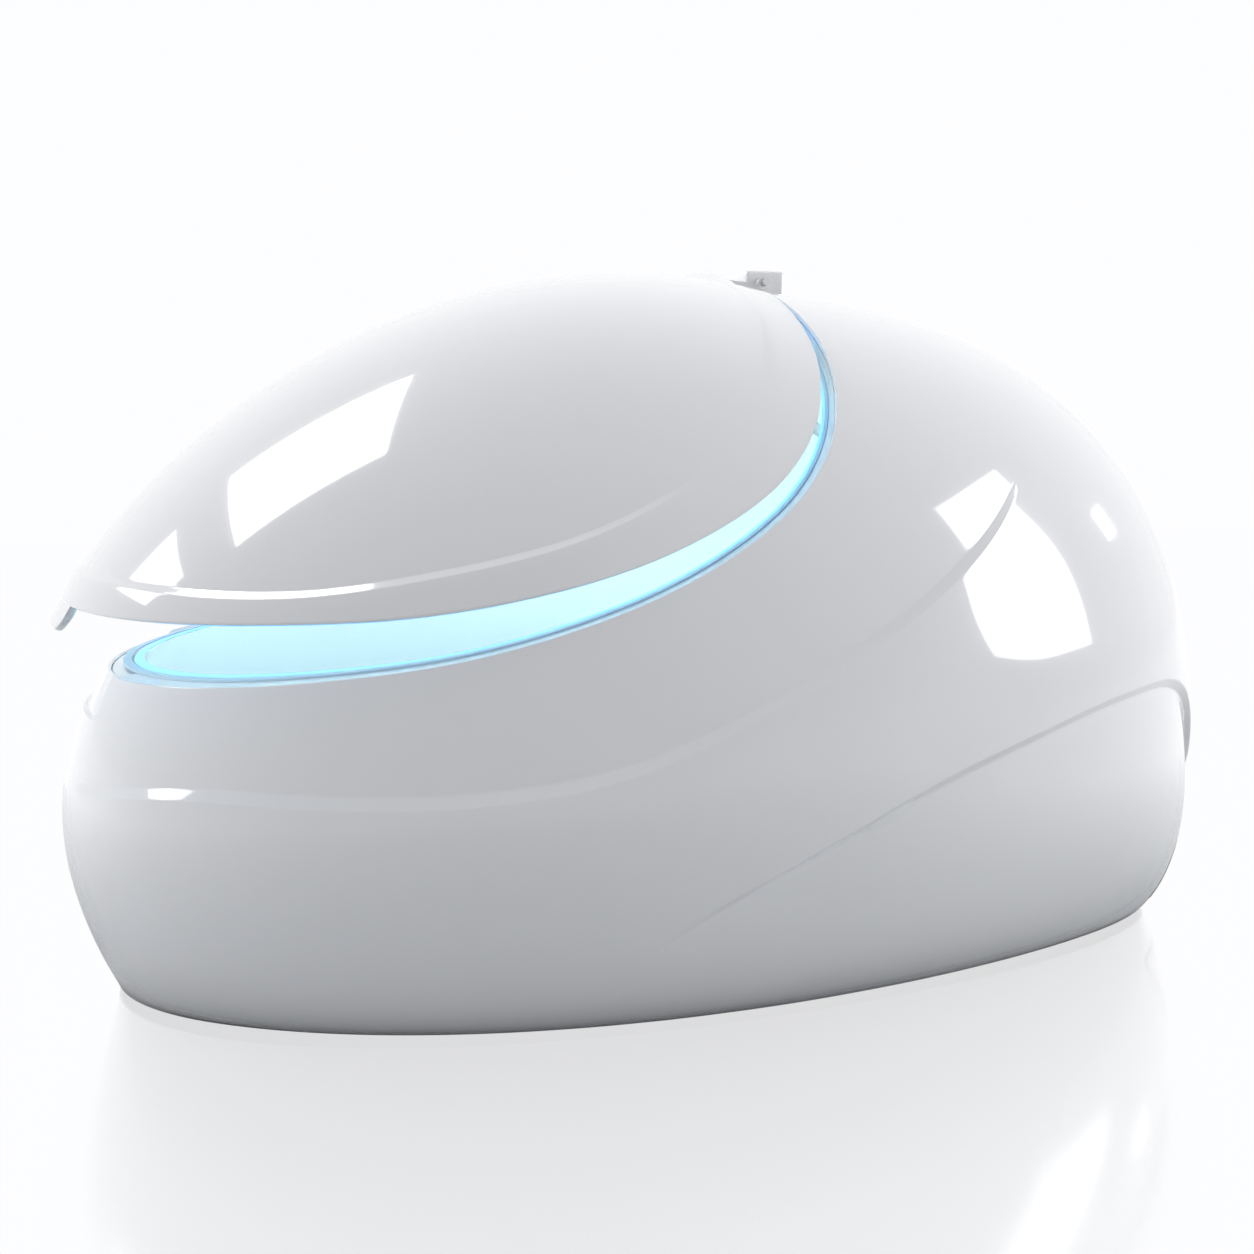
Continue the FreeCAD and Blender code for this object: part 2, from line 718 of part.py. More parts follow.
def rim_point(index, share, lift):
    """Point on the rim flange, from the cabin side (0) to the outside (1), and up from it."""
    angle = ANGLES[index]
    inner = CABIN.point(angle, CABIN_RIM[index])
    outer = HULL.offset(angle, RIM[index], -HULL_WALL - EDGE_GAP)
    return inner + (outer - inner) * share + HULL.upward(angle, RIM[index]).normalize() * lift


def lid_edge_point(index, share, lift):
    """The same on the underside of the shut lid."""
    angle = ANGLES[index]
    inner = CABIN.point(angle, LINER_EDGE[index])
    outer = HULL.offset(angle, LID_EDGE[index], -LID_WALL - EDGE_GAP)
    return inner + (outer - inner) * share + HULL.upward(angle, LID_EDGE[index]).normalize() * lift


def edge_strip(point, shares, low, high):
    """Closed strip that runs round an edge."""
    corners = ((shares[0], low), (shares[1], low), (shares[1], high), (shares[0], high))
    rings = [ring([point(i, share, lift) for i in range(MERIDIANS)]) for share, lift in corners]
    faces = []
    for first, second in zip(rings, rings[1:] + rings[:1]):
        faces += band_faces(first, second)
    return closed_solid(faces)


def opened(shape):
    """Lid piece turned from shut to its rest position."""
    copy = shape.copy()
    copy.rotate(HINGE, Y_AXIS, LID_REST_ANGLE)
    return copy


# ================================================================ shells
def make_tub():
    """Bathing tub, rim flange and head dome as one moulding."""
    inside = strip(CABIN, CABIN_RIM, FOOT, 11, 0.0, crowd=FLOOR_CROWD)
    outside = strip(CABIN, CABIN_LOW, FOOT, 11, TUB_WALL, crowd=FLOOR_CROWD)
    outside[-1] = flat_ring(CABIN, 0.0, 0.0, FLOOR_HEIGHT - TUB_WALL)
    top_edge = skin_ring(HULL, RIM, -HULL_WALL - EDGE_GAP)
    low_edge = skin_ring(HULL, RIM_LOW, -HULL_WALL - EDGE_GAP)
    faces = skin_faces(inside) + skin_faces(outside) + band_faces(inside[-1], outside[-1])
    faces += band_faces(inside[0], top_edge) + band_faces(outside[0], low_edge)
    faces += band_faces(top_edge, low_edge)
    return closed_solid(faces).fuse(prism(outside[-1], V(0, 0, TUB_WALL)))


def make_lid_shell():
    """Outer skin of the canopy, shut."""
    walls = []
    for distance in (0.0, -LID_WALL):
        groups = chained([
            strip(HULL, LID_EDGE, LID_FOOT, 2, distance, lid_relief),
            strip(HULL, LID_FOOT, LID_TOP, 1, distance, lid_relief),
            crown_rings(HULL, LID_TOP, 6, distance),
        ])
        crown = HULL.point(0, 1.0) + Z_AXIS * distance
        faces = skin_faces(groups[0]) + skin_faces(groups[1]) + skin_faces(groups[2], crown)
        walls.append((groups[0][0], faces))
    faces = walls[0][1] + walls[1][1] + band_faces(walls[0][0], walls[1][0])
    return closed_solid(faces)


def make_lid_liner():
    """Cabin-side skin of the canopy with its flat edge, shut."""
    inside = crown_rings(CABIN, LINER_EDGE, 8, 0.0)
    outside = crown_rings(CABIN, LINER_HIGH, 8, LINER_WALL)
    bottom = skin_ring(HULL, LID_EDGE, -LID_WALL - EDGE_GAP, lid_relief)
    top = skin_ring(HULL, LID_EDGE_HIGH, -LID_WALL - EDGE_GAP, lid_relief)
    crown = CABIN.point(0, 1.0)
    faces = skin_faces(inside, crown) + skin_faces(outside, crown + Z_AXIS * LINER_WALL)
    faces += band_faces(inside[0], bottom) + band_faces(outside[0], top) + band_faces(bottom, top)
    return closed_solid(faces)


# ================================================================ closing tongue and its pocket
def wall_ring(top, drop, outer, inner):
    """Ring-shaped slice of the hull from a line down, between two distances from the plain egg."""
    low = stepped(HULL, top, [-drop] * MERIDIANS)
    out = strip(HULL, top, low, 2, outer)
    back = strip(HULL, top, low, 2, inner)
    faces = skin_faces(out) + skin_faces(back) + band_faces(out[0], back[0]) + band_faces(out[-1], back[-1])
    return closed_solid(faces)


def front_prism(half_width, bottom, radius):
    """Block through the nose of the hull, round at its two lower corners."""
    top = bottom + HULL_HEIGHT
    length = HALF_LENGTH / 2
    place = facing(V(-HALF_LENGTH - length / 2, 0, (bottom + top) / 2), X_AXIS)
    return rounded_plate(2 * half_width, top - bottom, radius, length, place)


NOSE_RIM = HULL.point(pi, RIM[MERIDIANS // 2]).z
PRISM = front_prism(RECESS_HALF_WIDTH, NOSE_RIM - RECESS_DROP, RECESS_RADIUS)
PRISM_OUTER = front_prism(RECESS_HALF_WIDTH + HULL_WALL, NOSE_RIM - RECESS_DROP - HULL_WALL,
                          RECESS_RADIUS + HULL_WALL)
RECESS_FLOOR = skin_solid(HULL, -RECESS_DEPTH, 0.1)


def make_latch_pocket():
    """Pocket moulding set in the nose, which takes the lid's tongue."""
    slab = wall_ring(RIM, RECESS_DROP + 2 * HULL_WALL, 0.0, -RECESS_DEPTH - TUB_WALL)
    return slab.common(PRISM_OUTER).cut(PRISM.cut(RECESS_FLOOR))


def pocket_cutter(gap):
    """Room for the pocket moulding with a gap all round."""
    grown = front_prism(RECESS_HALF_WIDTH + HULL_WALL + gap, NOSE_RIM - RECESS_DROP - HULL_WALL - gap,
                        RECESS_RADIUS + HULL_WALL + gap)
    return grown.cut(skin_solid(HULL, -RECESS_DEPTH - TUB_WALL - gap, 0.1))


def make_lid_tongue():
    """Closing tongue under the front edge of the lid, shut."""
    top = stepped(HULL, LID_EDGE, [-FIT] * MERIDIANS)
    slab = wall_ring(top, TONGUE_DROP + RECESS_DEPTH, 0.0, -TONGUE_THICKNESS)
    lid_nose = HULL.point(pi, LID_EDGE[MERIDIANS // 2]).z
    outline = front_prism(RECESS_HALF_WIDTH - TONGUE_SIDE_GAP, lid_nose - TONGUE_DROP, RECESS_RADIUS)
    return slab.common(outline)


# ================================================================ hinge
def make_hinge_block(hull_solid):
    """Fixed hinge housing on the crown, shaped to the hull under it."""
    low = V(HINGE.x - BLOCK_FRONT, -BLOCK_HALF_WIDTH, HINGE.z - 2 * BLOCK_TOP)
    block = box(low, V(HINGE.x + BLOCK_BACK, BLOCK_HALF_WIDTH, HINGE.z + BLOCK_TOP))
    block = block.makeFillet(BLOCK_RADIUS, [edge for edge in block.Edges if edge.BoundBox.ZMax > HINGE.z])
    bore = cylinder(PIN_RADIUS + BUSH_WALL, HINGE - Y_AXIS * PIN_LENGTH, Y_AXIS, 2 * PIN_LENGTH)
    return without(block, [hull_solid, bore])


def make_hinge_pin():
    return cylinder(PIN_RADIUS, HINGE - Y_AXIS * (PIN_LENGTH / 2), Y_AXIS, PIN_LENGTH)


def make_hinge_bushes():
    """Two plain bushes pressed into the block, one from each side."""
    length = BLOCK_HALF_WIDTH * 0.8
    inner = PIN_RADIUS + RUNNING_FIT
    near = tube(PIN_RADIUS + BUSH_WALL, inner, HINGE - Y_AXIS * BLOCK_HALF_WIDTH, Y_AXIS, length)
    far = tube(PIN_RADIUS + BUSH_WALL, inner, HINGE + Y_AXIS * (BLOCK_HALF_WIDTH - length), Y_AXIS, length)
    return group([near, far])


def make_hinge_arm(side, below, lifted):
    """Arm from the lid's crown to the pin, one each side of the block, shut."""
    start = BLOCK_HALF_WIDTH + ARM_SIDE_GAP if side > 0 else -BLOCK_HALF_WIDTH - ARM_SIDE_GAP - ARM_THICKNESS
    eye_base = V(HINGE.x, start, HINGE.z)
    eye = cylinder(ARM_EYE_RADIUS, eye_base, Y_AXIS, ARM_THICKNESS)
    top = HINGE.z - ARM_BAR_DROP
    bar = box(V(HINGE.x - ARM_REACH, start, HINGE.z - ARM_EYE_RADIUS), V(HINGE.x, start + ARM_THICKNESS, top))
    root = box(V(HINGE.x - ARM_REACH, start, HINGE.z - 2 * ARM_EYE_RADIUS),
               V(HINGE.x - ARM_REACH + ARM_FOOT_LENGTH, start + ARM_THICKNESS, top))
    bore = cylinder(PIN_RADIUS, HINGE - Y_AXIS * PIN_LENGTH, Y_AXIS, 2 * PIN_LENGTH)
    free = box(V(HINGE.x - ARM_REACH + ARM_FOOT_LENGTH, -HALF_WIDTH, 0),
               V(HALF_LENGTH, HALF_WIDTH, 2 * CROWN))
    return without(fused([eye, bar, root]), below + [lifted.common(free), bore])


def make_fairing(crown):
    """Smooth hollow cover over the hinge arms, open to the rear, down to the crown of the lid."""
    centre = V(FAIRING_CENTRE_X, 0, CROWN - FAIRING_SINK)

    def dome(shrink):
        length, width, height = [radius - shrink for radius in FAIRING_RADII]
        rings = []
        for lift in (-0.5, -0.25, 0.0, 0.25, 0.5, 0.75, 1.0, 1.25, 1.45):
            across, rise = cos(lift), height * sin(lift)
            ellipse = [centre + V(length * across * cos(angle), width * across * sin(angle), rise)
                       for angle in ANGLES]
            rings.append(ring(ellipse))
        return closed_solid(skin_faces(rings, centre + Z_AXIS * height) + [Part.Face(rings[0])])

    shell = dome(0.0).cut(dome(FAIRING_WALL))
    rear = box(V(HINGE.x - BLOCK_FRONT - FAIRING_REAR_GAP, -HALF_WIDTH, CROWN - HALF_WIDTH),
               V(HALF_LENGTH, HALF_WIDTH, CROWN + HALF_WIDTH))
    return without(shell, [crown, rear])


# ================================================================ gas struts
def pivot_turned(x, z, angle):
    """Side-view point of the shut lid after the lid has opened by an angle in degrees."""
    dx, dz, turn = x - HINGE.x, z - HINGE.z, radians(angle)
    return HINGE.x + dx * cos(turn) + dz * sin(turn), HINGE.z - dx * sin(turn) + dz * cos(turn)


def strut_ends(side):
    lid_x, lid_z = pivot_turned(*STRUT_LID_POINT, LID_REST_ANGLE)
    return V(STRUT_TUB_POINT[0], side * STRUT_Y, STRUT_TUB_POINT[1]), V(lid_x, side * STRUT_Y, lid_z)


def make_strut_cylinder(side):
    low, high = strut_ends(side)
    way = (high - low).normalize()
    barrel = cylinder(STRUT_CYLINDER_RADIUS, low + way * STRUT_SOCKET_RADIUS, way, STRUT_CYLINDER_LENGTH)
    eye_start = low - Y_AXIS * (STRUT_SOCKET_WIDTH / 2)
    eye_blank = cylinder(STRUT_SOCKET_RADIUS, eye_start, Y_AXIS, STRUT_SOCKET_WIDTH)
    neck = cylinder(STRUT_ROD_RADIUS, low, way, 2 * STRUT_SOCKET_RADIUS)
    stud = cylinder(STUD_RADIUS + RUNNING_FIT, low - Y_AXIS * STRUT_Y, Y_AXIS, 2 * STRUT_Y)
    chamber = cylinder(STRUT_CYLINDER_BORE, low + way * 3 * STRUT_SOCKET_RADIUS, way,
                       STRUT_CYLINDER_LENGTH - 3 * STRUT_SOCKET_RADIUS)
    middle = low + way * STRUT_CYLINDER_LENGTH / 2
    gland = cylinder(STRUT_ROD_RADIUS + RUNNING_FIT, middle, way, STRUT_CYLINDER_LENGTH)
    return without(fused([eye_blank, neck, barrel]), [stud, chamber, gland])


def make_strut_rod(side):
    """Rod with its piston and its upper eye."""
    low, high = strut_ends(side)
    way = (low - high).normalize()
    reach = (high - low).Length - STRUT_PISTON_START
    rod = cylinder(STRUT_ROD_RADIUS, high + way * STRUT_ROD_RADIUS, way, reach - STRUT_ROD_RADIUS)
    piston = cylinder(STRUT_PISTON_RADIUS, high + way * reach, -way, STRUT_PISTON_LENGTH)
    eye_start = high - Y_AXIS * (STRUT_SOCKET_WIDTH / 2)
    eye = cylinder(ROD_EYE_RADIUS, eye_start, Y_AXIS, STRUT_SOCKET_WIDTH)
    stud = cylinder(STUD_RADIUS + RUNNING_FIT, high - Y_AXIS * STRUT_Y, Y_AXIS, 2 * STRUT_Y)
    return fused([eye, rod, piston]).cut(stud)


def make_stud(side, x, z, wall, reach):
    """Stud on a round post that stands on the wall beside it; it reaches past the socket's middle."""
    outward = V(0, side, 0)
    centre = V(x, side * STRUT_Y, z)
    half = STRUT_SOCKET_WIDTH / 2
    stud = cylinder(STUD_RADIUS, centre - outward * reach, outward, reach + half + STUD_END)
    post = cylinder(STUD_POST_RADIUS, centre + outward * (half + STUD_END), outward, HALF_WIDTH)
    pieces = fused([stud, post]).cut(wall).Solids
    return min(pieces, key=lambda piece: (piece.CenterOfMass - centre).Length)


# ================================================================ plinth, frame and feet
def make_plinth(body):
    """Dark skirt that fills the gap under the hull, with a flange out to the hull's inner face."""
    flange_base = PLINTH_TOP - PLINTH_FLANGE
    edge = flat_ring(HULL, HULL.level_at(flange_base), -HULL_WALL / 4, flange_base)
    flange = prism(edge, V(0, 0, PLINTH_FLANGE))
    wall = prism(flat_ring(HULL, 0.0, -PLINTH_INSET, PLINTH_LIFT), V(0, 0, PLINTH_TOP - PLINTH_LIFT))
    hole = prism(flat_ring(HULL, 0.0, -PLINTH_INSET - PLINTH_WALL, 0), V(0, 0, 2 * PLINTH_TOP))
    skirt = flange.fuse(wall).cut(hole).cut(body)
    return max(skirt.Solids, key=lambda solid: solid.Volume)


def hollow_bar(low, high, axis, wall):
    """Square tube between two corners, open along an axis: 0 is X, 1 is Y and 2 is Z."""
    margin = [wall, wall, wall]
    margin[axis] = -wall
    shrink = V(*margin)
    return box(low, high).cut(box(low + shrink, high - shrink))


def make_base_frame():
    """Welded frame: two rails, upper and lower cross bars and the posts between them."""
    rail_top = RAIL_BASE + RAIL_HEIGHT
    top = FLOOR_HEIGHT - TUB_WALL
    parts = []
    for side in (-1, 1):
        y = side * RAIL_Y
        parts.append(hollow_bar(V(-RAIL_HALF_LENGTH, y - RAIL_WIDTH / 2, RAIL_BASE),
                                V(RAIL_HALF_LENGTH, y + RAIL_WIDTH / 2, rail_top), 0, RAIL_WALL))
        for x in CROSS_X:
            half = CROSS_WIDTH / 2
            parts.append(box(V(x - half, y - half, rail_top), V(x + half, y + half, top - CROSS_HEIGHT)))
    for x in CROSS_X:
        half = CROSS_WIDTH / 2
        reach = RAIL_Y + half
        parts.append(box(V(x - half, -reach, top - CROSS_HEIGHT), V(x + half, reach, top)))
        inner = RAIL_Y - RAIL_WIDTH / 2
        parts.append(box(V(x - half, -inner, RAIL_BASE), V(x + half, inner, rail_top)))
    return fused(parts)


def make_levelling_feet():
    feet = []
    for x in FOOT_X:
        for y in (-RAIL_Y, RAIL_Y):
            pad = Part.makeCone(FOOT_PAD_RADIUS, FOOT_PAD_RADIUS * 0.7, FOOT_PAD_HEIGHT, V(x, y, 0), Z_AXIS)
            stem = cylinder(FOOT_STEM_RADIUS, V(x, y, 0), Z_AXIS, RAIL_BASE)
            plate_base = V(x, y, RAIL_BASE - FOOT_PLATE_HEIGHT)
            plate = cylinder(FOOT_PLATE_RADIUS, plate_base, Z_AXIS, FOOT_PLATE_HEIGHT)
            feet.append(fused([pad, stem, plate]))
    return group(feet)


def make_equipment_tray(frame):
    """Flat tray on the rails, notched round the frame's posts."""
    base = RAIL_BASE + RAIL_HEIGHT
    tray = box(V(TRAY_FRONT, -TRAY_HALF_WIDTH, base), V(TRAY_REAR, TRAY_HALF_WIDTH, base + TRAY_THICKNESS))
    return tray.cut(frame)


def make_hull_brackets():
    """Arms from the rails to the inner face of the hull."""
    outside = body_wall(HALF_WIDTH / 4, -HULL_WALL)
    arms = []
    for x in BRACKET_X:
        for side in (-1, 1):
            near, far = RAIL_Y + RAIL_WIDTH / 2, HALF_WIDTH
            low = V(x - BRACKET_WIDTH / 2, min(side * near, side * far), RAIL_BASE)
            high = V(x + BRACKET_WIDTH / 2, max(side * near, side * far), RAIL_BASE + BRACKET_HEIGHT)
            arms.append(max(box(low, high).cut(outside).Solids, key=lambda solid: solid.Volume))
    return group(arms)


# ================================================================ water circuit
def pipe(points, radius=PIPE_RADIUS):
    """Hollow pipe along straight runs joined by round bends."""
    edges, start = [], points[0]
    for before, corner, after in zip(points, points[1:], points[2:]):
        back, onward = (before - corner).normalize(), (after - corner).normalize()
        first, last = corner + back * BEND_RADIUS, corner + onward * BEND_RADIUS
        centre = corner + (back + onward) * BEND_RADIUS
        middle = centre - (back + onward).normalize() * BEND_RADIUS
        edges += [Part.makeLine(start, first), Part.Arc(first, middle, last).toShape()]
        start = last
    edges.append(Part.makeLine(start, points[-1]))
    path = Part.Wire(edges)
    way = (points[1] - points[0]).normalize()
    solids = []
    for size in (radius, radius - PIPE_WALL):
        profile = Part.Wire([Part.makeCircle(size, points[0], way)])
        solids.append(path.makePipeShell([profile], True, False))
    return solids[0].cut(solids[1])


def port(base, direction):
    """Hollow union collar on a machine."""
    return tube(PORT_RADIUS, PIPE_RADIUS - PIPE_WALL, base, direction, PORT_LENGTH)


def saddle(x, lane, radius):
    """Foot under a round machine, from the tray up to it."""
    base = RAIL_BASE + RAIL_HEIGHT + TRAY_THICKNESS
    half = radius * 0.8
    block = box(V(x - SADDLE_LENGTH / 2, lane - half, base),
                V(x + SADDLE_LENGTH / 2, lane + half, CIRCUIT_HEIGHT))
    return block.cut(cylinder(radius, V(x - SADDLE_LENGTH, lane, CIRCUIT_HEIGHT), X_AXIS, 2 * SADDLE_LENGTH))


VOLUTE_END = PUMP_FRONT + VOLUTE_LENGTH


def make_pump_volute():
    """Pump casing: inlet on its axis, outlet to the side, open chamber for the impeller."""
    axis = V(PUMP_FRONT, PUMP_LANE, CIRCUIT_HEIGHT)
    case = cylinder(VOLUTE_RADIUS, axis, X_AXIS, VOLUTE_LENGTH)
    inlet = cylinder(PORT_RADIUS, V(VOLUTE_END, PUMP_LANE, CIRCUIT_HEIGHT), X_AXIS, PORT_LENGTH)
    middle = V(PUMP_FRONT + VOLUTE_LENGTH / 2, PUMP_LANE, CIRCUIT_HEIGHT)
    outlet = cylinder(PORT_RADIUS, middle, Y_AXIS, VOLUTE_RADIUS + PORT_LENGTH)
    depth = VOLUTE_LENGTH - 2 * VOLUTE_WALL
    chamber = cylinder(VOLUTE_RADIUS - VOLUTE_WALL, axis + X_AXIS * VOLUTE_WALL, X_AXIS, depth)
    bore = PIPE_RADIUS - PIPE_WALL
    eye = cylinder(bore, middle, X_AXIS, VOLUTE_LENGTH + PORT_LENGTH)
    side = cylinder(bore, middle, Y_AXIS, VOLUTE_RADIUS + 2 * PORT_LENGTH)
    shaft = cylinder(SHAFT_RADIUS + RUNNING_FIT, axis - X_AXIS * VOLUTE_WALL, X_AXIS, 3 * VOLUTE_WALL)
    foot = saddle(PUMP_FRONT + VOLUTE_LENGTH / 2, PUMP_LANE, VOLUTE_RADIUS)
    return without(fused([case, inlet, outlet, foot]), [chamber, eye, side, shaft])


def make_pump_motor():
    axis = V(PUMP_FRONT - MOTOR_LENGTH, PUMP_LANE, CIRCUIT_HEIGHT)
    body = cylinder(MOTOR_RADIUS - MOTOR_FIN_DEPTH, axis, X_AXIS, MOTOR_LENGTH)
    fin_length = MOTOR_LENGTH * 0.7
    parts = [body]
    for i in range(MOTOR_FINS):
        fin = box(V(axis.x + FIN_START, PUMP_LANE - FIN_HALF_WIDTH, CIRCUIT_HEIGHT),
                  V(axis.x + FIN_START + fin_length, PUMP_LANE + FIN_HALF_WIDTH,
                    CIRCUIT_HEIGHT + MOTOR_RADIUS))
        fin.rotate(V(0, PUMP_LANE, CIRCUIT_HEIGHT), X_AXIS, 360.0 * i / MOTOR_FINS)
        parts.append(fin)
    foot = saddle(axis.x + MOTOR_LENGTH / 2, PUMP_LANE, MOTOR_RADIUS - 2 * MOTOR_FIN_DEPTH)
    bearing = cylinder(SHAFT_RADIUS + RUNNING_FIT, axis + X_AXIS * (MOTOR_LENGTH / 2), X_AXIS, MOTOR_LENGTH)
    return fused(parts + [foot]).cut(bearing)


def make_pump_impeller():
    """Vaned wheel on the motor shaft."""
    radius = VOLUTE_RADIUS - VOLUTE_WALL - IMPELLER_GAP
    back = V(PUMP_FRONT + VOLUTE_WALL + IMPELLER_GAP, PUMP_LANE, CIRCUIT_HEIGHT)
    depth = VOLUTE_LENGTH - 2 * VOLUTE_WALL - 2 * IMPELLER_GAP
    disc = cylinder(radius, back, X_AXIS, depth / 5)
    hub = cylinder(2 * SHAFT_RADIUS, back, X_AXIS, depth * 0.6)
    vanes = []
    for i in range(6):
        vane = box(back + V(0, -2, 0), back + V(depth, 2, radius - 2))
        vane = vane.cut(cylinder(PIPE_RADIUS, back, X_AXIS, 2 * depth))
        vane.rotate(back, X_AXIS, 60.0 * i)
        vanes.append(vane)
    shaft_start = V(PUMP_FRONT - MOTOR_LENGTH * 0.4, PUMP_LANE, CIRCUIT_HEIGHT)
    shaft = cylinder(SHAFT_RADIUS, shaft_start, X_AXIS, back.x - shaft_start.x + depth / 5)
    return fused([disc, hub, shaft] + vanes)


def make_filter_housing():
    base = V(-FILTER_HALF_LENGTH, PUMP_LANE, CIRCUIT_HEIGHT)
    case = cylinder(FILTER_RADIUS, base, X_AXIS, 2 * FILTER_HALF_LENGTH)
    inlet = cylinder(PORT_RADIUS, base + X_AXIS * 2 * FILTER_HALF_LENGTH, X_AXIS, PORT_LENGTH)
    outlet_base = V(FILTER_PORT_X, PUMP_LANE, CIRCUIT_HEIGHT)
    outlet = cylinder(PORT_RADIUS, outlet_base, Y_AXIS, FILTER_RADIUS + PORT_LENGTH)
    depth = 2 * FILTER_HALF_LENGTH - FILTER_END + 1
    room = cylinder(FILTER_RADIUS - FILTER_WALL, base - X_AXIS, X_AXIS, depth)
    bore = PIPE_RADIUS - PIPE_WALL
    through = cylinder(bore, V(0, PUMP_LANE, CIRCUIT_HEIGHT), X_AXIS, 2 * FILTER_HALF_LENGTH)
    side = cylinder(bore, outlet_base, Y_AXIS, 2 * FILTER_RADIUS)
    feet = [saddle(x, PUMP_LANE, FILTER_RADIUS) for x in (-FILTER_HALF_LENGTH / 2, FILTER_HALF_LENGTH / 2)]
    return without(fused([case, inlet, outlet] + feet), [room, through, side])


def make_filter_cap():
    """Screw cap over the open end of the filter, with grip ribs."""
    end = V(-FILTER_HALF_LENGTH - FIT, PUMP_LANE, CIRCUIT_HEIGHT)
    rim = cylinder(CAP_RADIUS, end - X_AXIS * CAP_LENGTH, X_AXIS, CAP_LENGTH)
    plug = cylinder(FILTER_RADIUS - FILTER_WALL - 1, end, X_AXIS, FILTER_WALL)
    ribs = []
    for i in range(8):
        rib = box(end + V(-CAP_LENGTH, -5, CAP_RADIUS - 4), end + V(-8, 5, CAP_RADIUS + 4))
        rib.rotate(end, X_AXIS, 45.0 * i + 22.5)
        ribs.append(rib)
    return fused([rim, plug] + ribs)


def make_filter_cartridge():
    length = 2 * FILTER_HALF_LENGTH - FILTER_END - 2 * FILTER_WALL
    base = V(-FILTER_HALF_LENGTH + 2 * FILTER_WALL, PUMP_LANE, CIRCUIT_HEIGHT)
    return tube(CARTRIDGE_RADIUS, CARTRIDGE_BORE, base, X_AXIS, length)


def make_steriliser():
    base = V(-STERILISER_HALF_LENGTH, HEAT_LANE, CIRCUIT_HEIGHT)
    tank = cylinder(STERILISER_RADIUS, base, X_AXIS, 2 * STERILISER_HALF_LENGTH)
    outlet = port(base + X_AXIS * 2 * STERILISER_HALF_LENGTH, X_AXIS)
    inlet_base = V(FILTER_PORT_X, HEAT_LANE, CIRCUIT_HEIGHT)
    inlet = cylinder(PORT_RADIUS, inlet_base, -Y_AXIS, STERILISER_RADIUS + PORT_LENGTH)
    room = cylinder(STERILISER_RADIUS - PIPE_WALL, base + X_AXIS * 6, X_AXIS, 2 * STERILISER_HALF_LENGTH - 12)
    bore = PIPE_RADIUS - PIPE_WALL
    through = cylinder(bore, V(0, HEAT_LANE, CIRCUIT_HEIGHT), X_AXIS, 2 * STERILISER_HALF_LENGTH)
    side = cylinder(bore, inlet_base, -Y_AXIS, 2 * STERILISER_RADIUS)
    feet = [saddle(x, HEAT_LANE, STERILISER_RADIUS)
            for x in (-STERILISER_HALF_LENGTH / 2, STERILISER_HALF_LENGTH / 2)]
    return without(fused([tank, outlet, inlet] + feet), [room, through, side])


def make_heater():
    base = V(HEATER_FRONT, HEAT_LANE, CIRCUIT_HEIGHT)
    end = base + X_AXIS * HEATER_LENGTH
    tank = cylinder(HEATER_RADIUS, base, X_AXIS, HEATER_LENGTH)
    ports = [port(base, -X_AXIS), port(end, X_AXIS)]
    room = cylinder(HEATER_RADIUS - PIPE_WALL, base + X_AXIS * 6, X_AXIS, HEATER_LENGTH - 12)
    start = base - X_AXIS * PORT_LENGTH
    through = cylinder(PIPE_RADIUS - PIPE_WALL, start, X_AXIS, HEATER_LENGTH + 2 * PORT_LENGTH)
    quarter = HEATER_LENGTH / 4
    terminal = box(base + V(quarter, -28, HEATER_RADIUS - 8), base + V(3 * quarter, 28, HEATER_RADIUS + 22))
    feet = [saddle(HEATER_FRONT + share * HEATER_LENGTH, HEAT_LANE, HEATER_RADIUS) for share in (0.2, 0.8)]
    return without(fused([tank, terminal] + ports + feet), [room, through])


def fitting_base():
    """Height of the lower end of a tub fitting."""
    return FLOOR_HEIGHT - TUB_WALL - FITTING_DROP


def make_floor_fitting(x, y):
    """Through fitting in the bathing floor: flange inside, nut below, pipe socket."""
    top = V(x, y, FLOOR_HEIGHT)
    low = V(x, y, fitting_base())
    flange = cylinder(FITTING_FLANGE_RADIUS, top, Z_AXIS, FITTING_FLANGE)
    stem = cylinder(FITTING_RADIUS, low, Z_AXIS, FLOOR_HEIGHT - low.z)
    nut = cylinder(FITTING_FLANGE_RADIUS, top - Z_AXIS * (TUB_WALL + 10), Z_AXIS, 10)
    bore = cylinder(PIPE_RADIUS - PIPE_WALL, low - Z_AXIS, Z_AXIS, FLOOR_HEIGHT)
    return fused([flange, stem, nut]).cut(bore)


def make_floor_grille(x, y):
    """Slotted cover on a floor fitting."""
    base = V(x, y, FLOOR_HEIGHT + FITTING_FLANGE)
    grille = cylinder(GRILLE_RADIUS, base, Z_AXIS, GRILLE_HEIGHT)
    pitch = 2 * GRILLE_SLOT_WIDTH
    for i in range(GRILLE_SLOTS):
        offset = (i - (GRILLE_SLOTS - 1) / 2) * pitch * 1.4
        half = sqrt(GRILLE_RADIUS ** 2 - offset ** 2) - 9
        grille = grille.cut(box(base + V(offset - GRILLE_SLOT_WIDTH / 2, -half, -1),
                                base + V(offset + GRILLE_SLOT_WIDTH / 2, half, GRILLE_HEIGHT + 1)))
    return grille


def circuit_point(x, y):
    return V(x, y, CIRCUIT_HEIGHT)


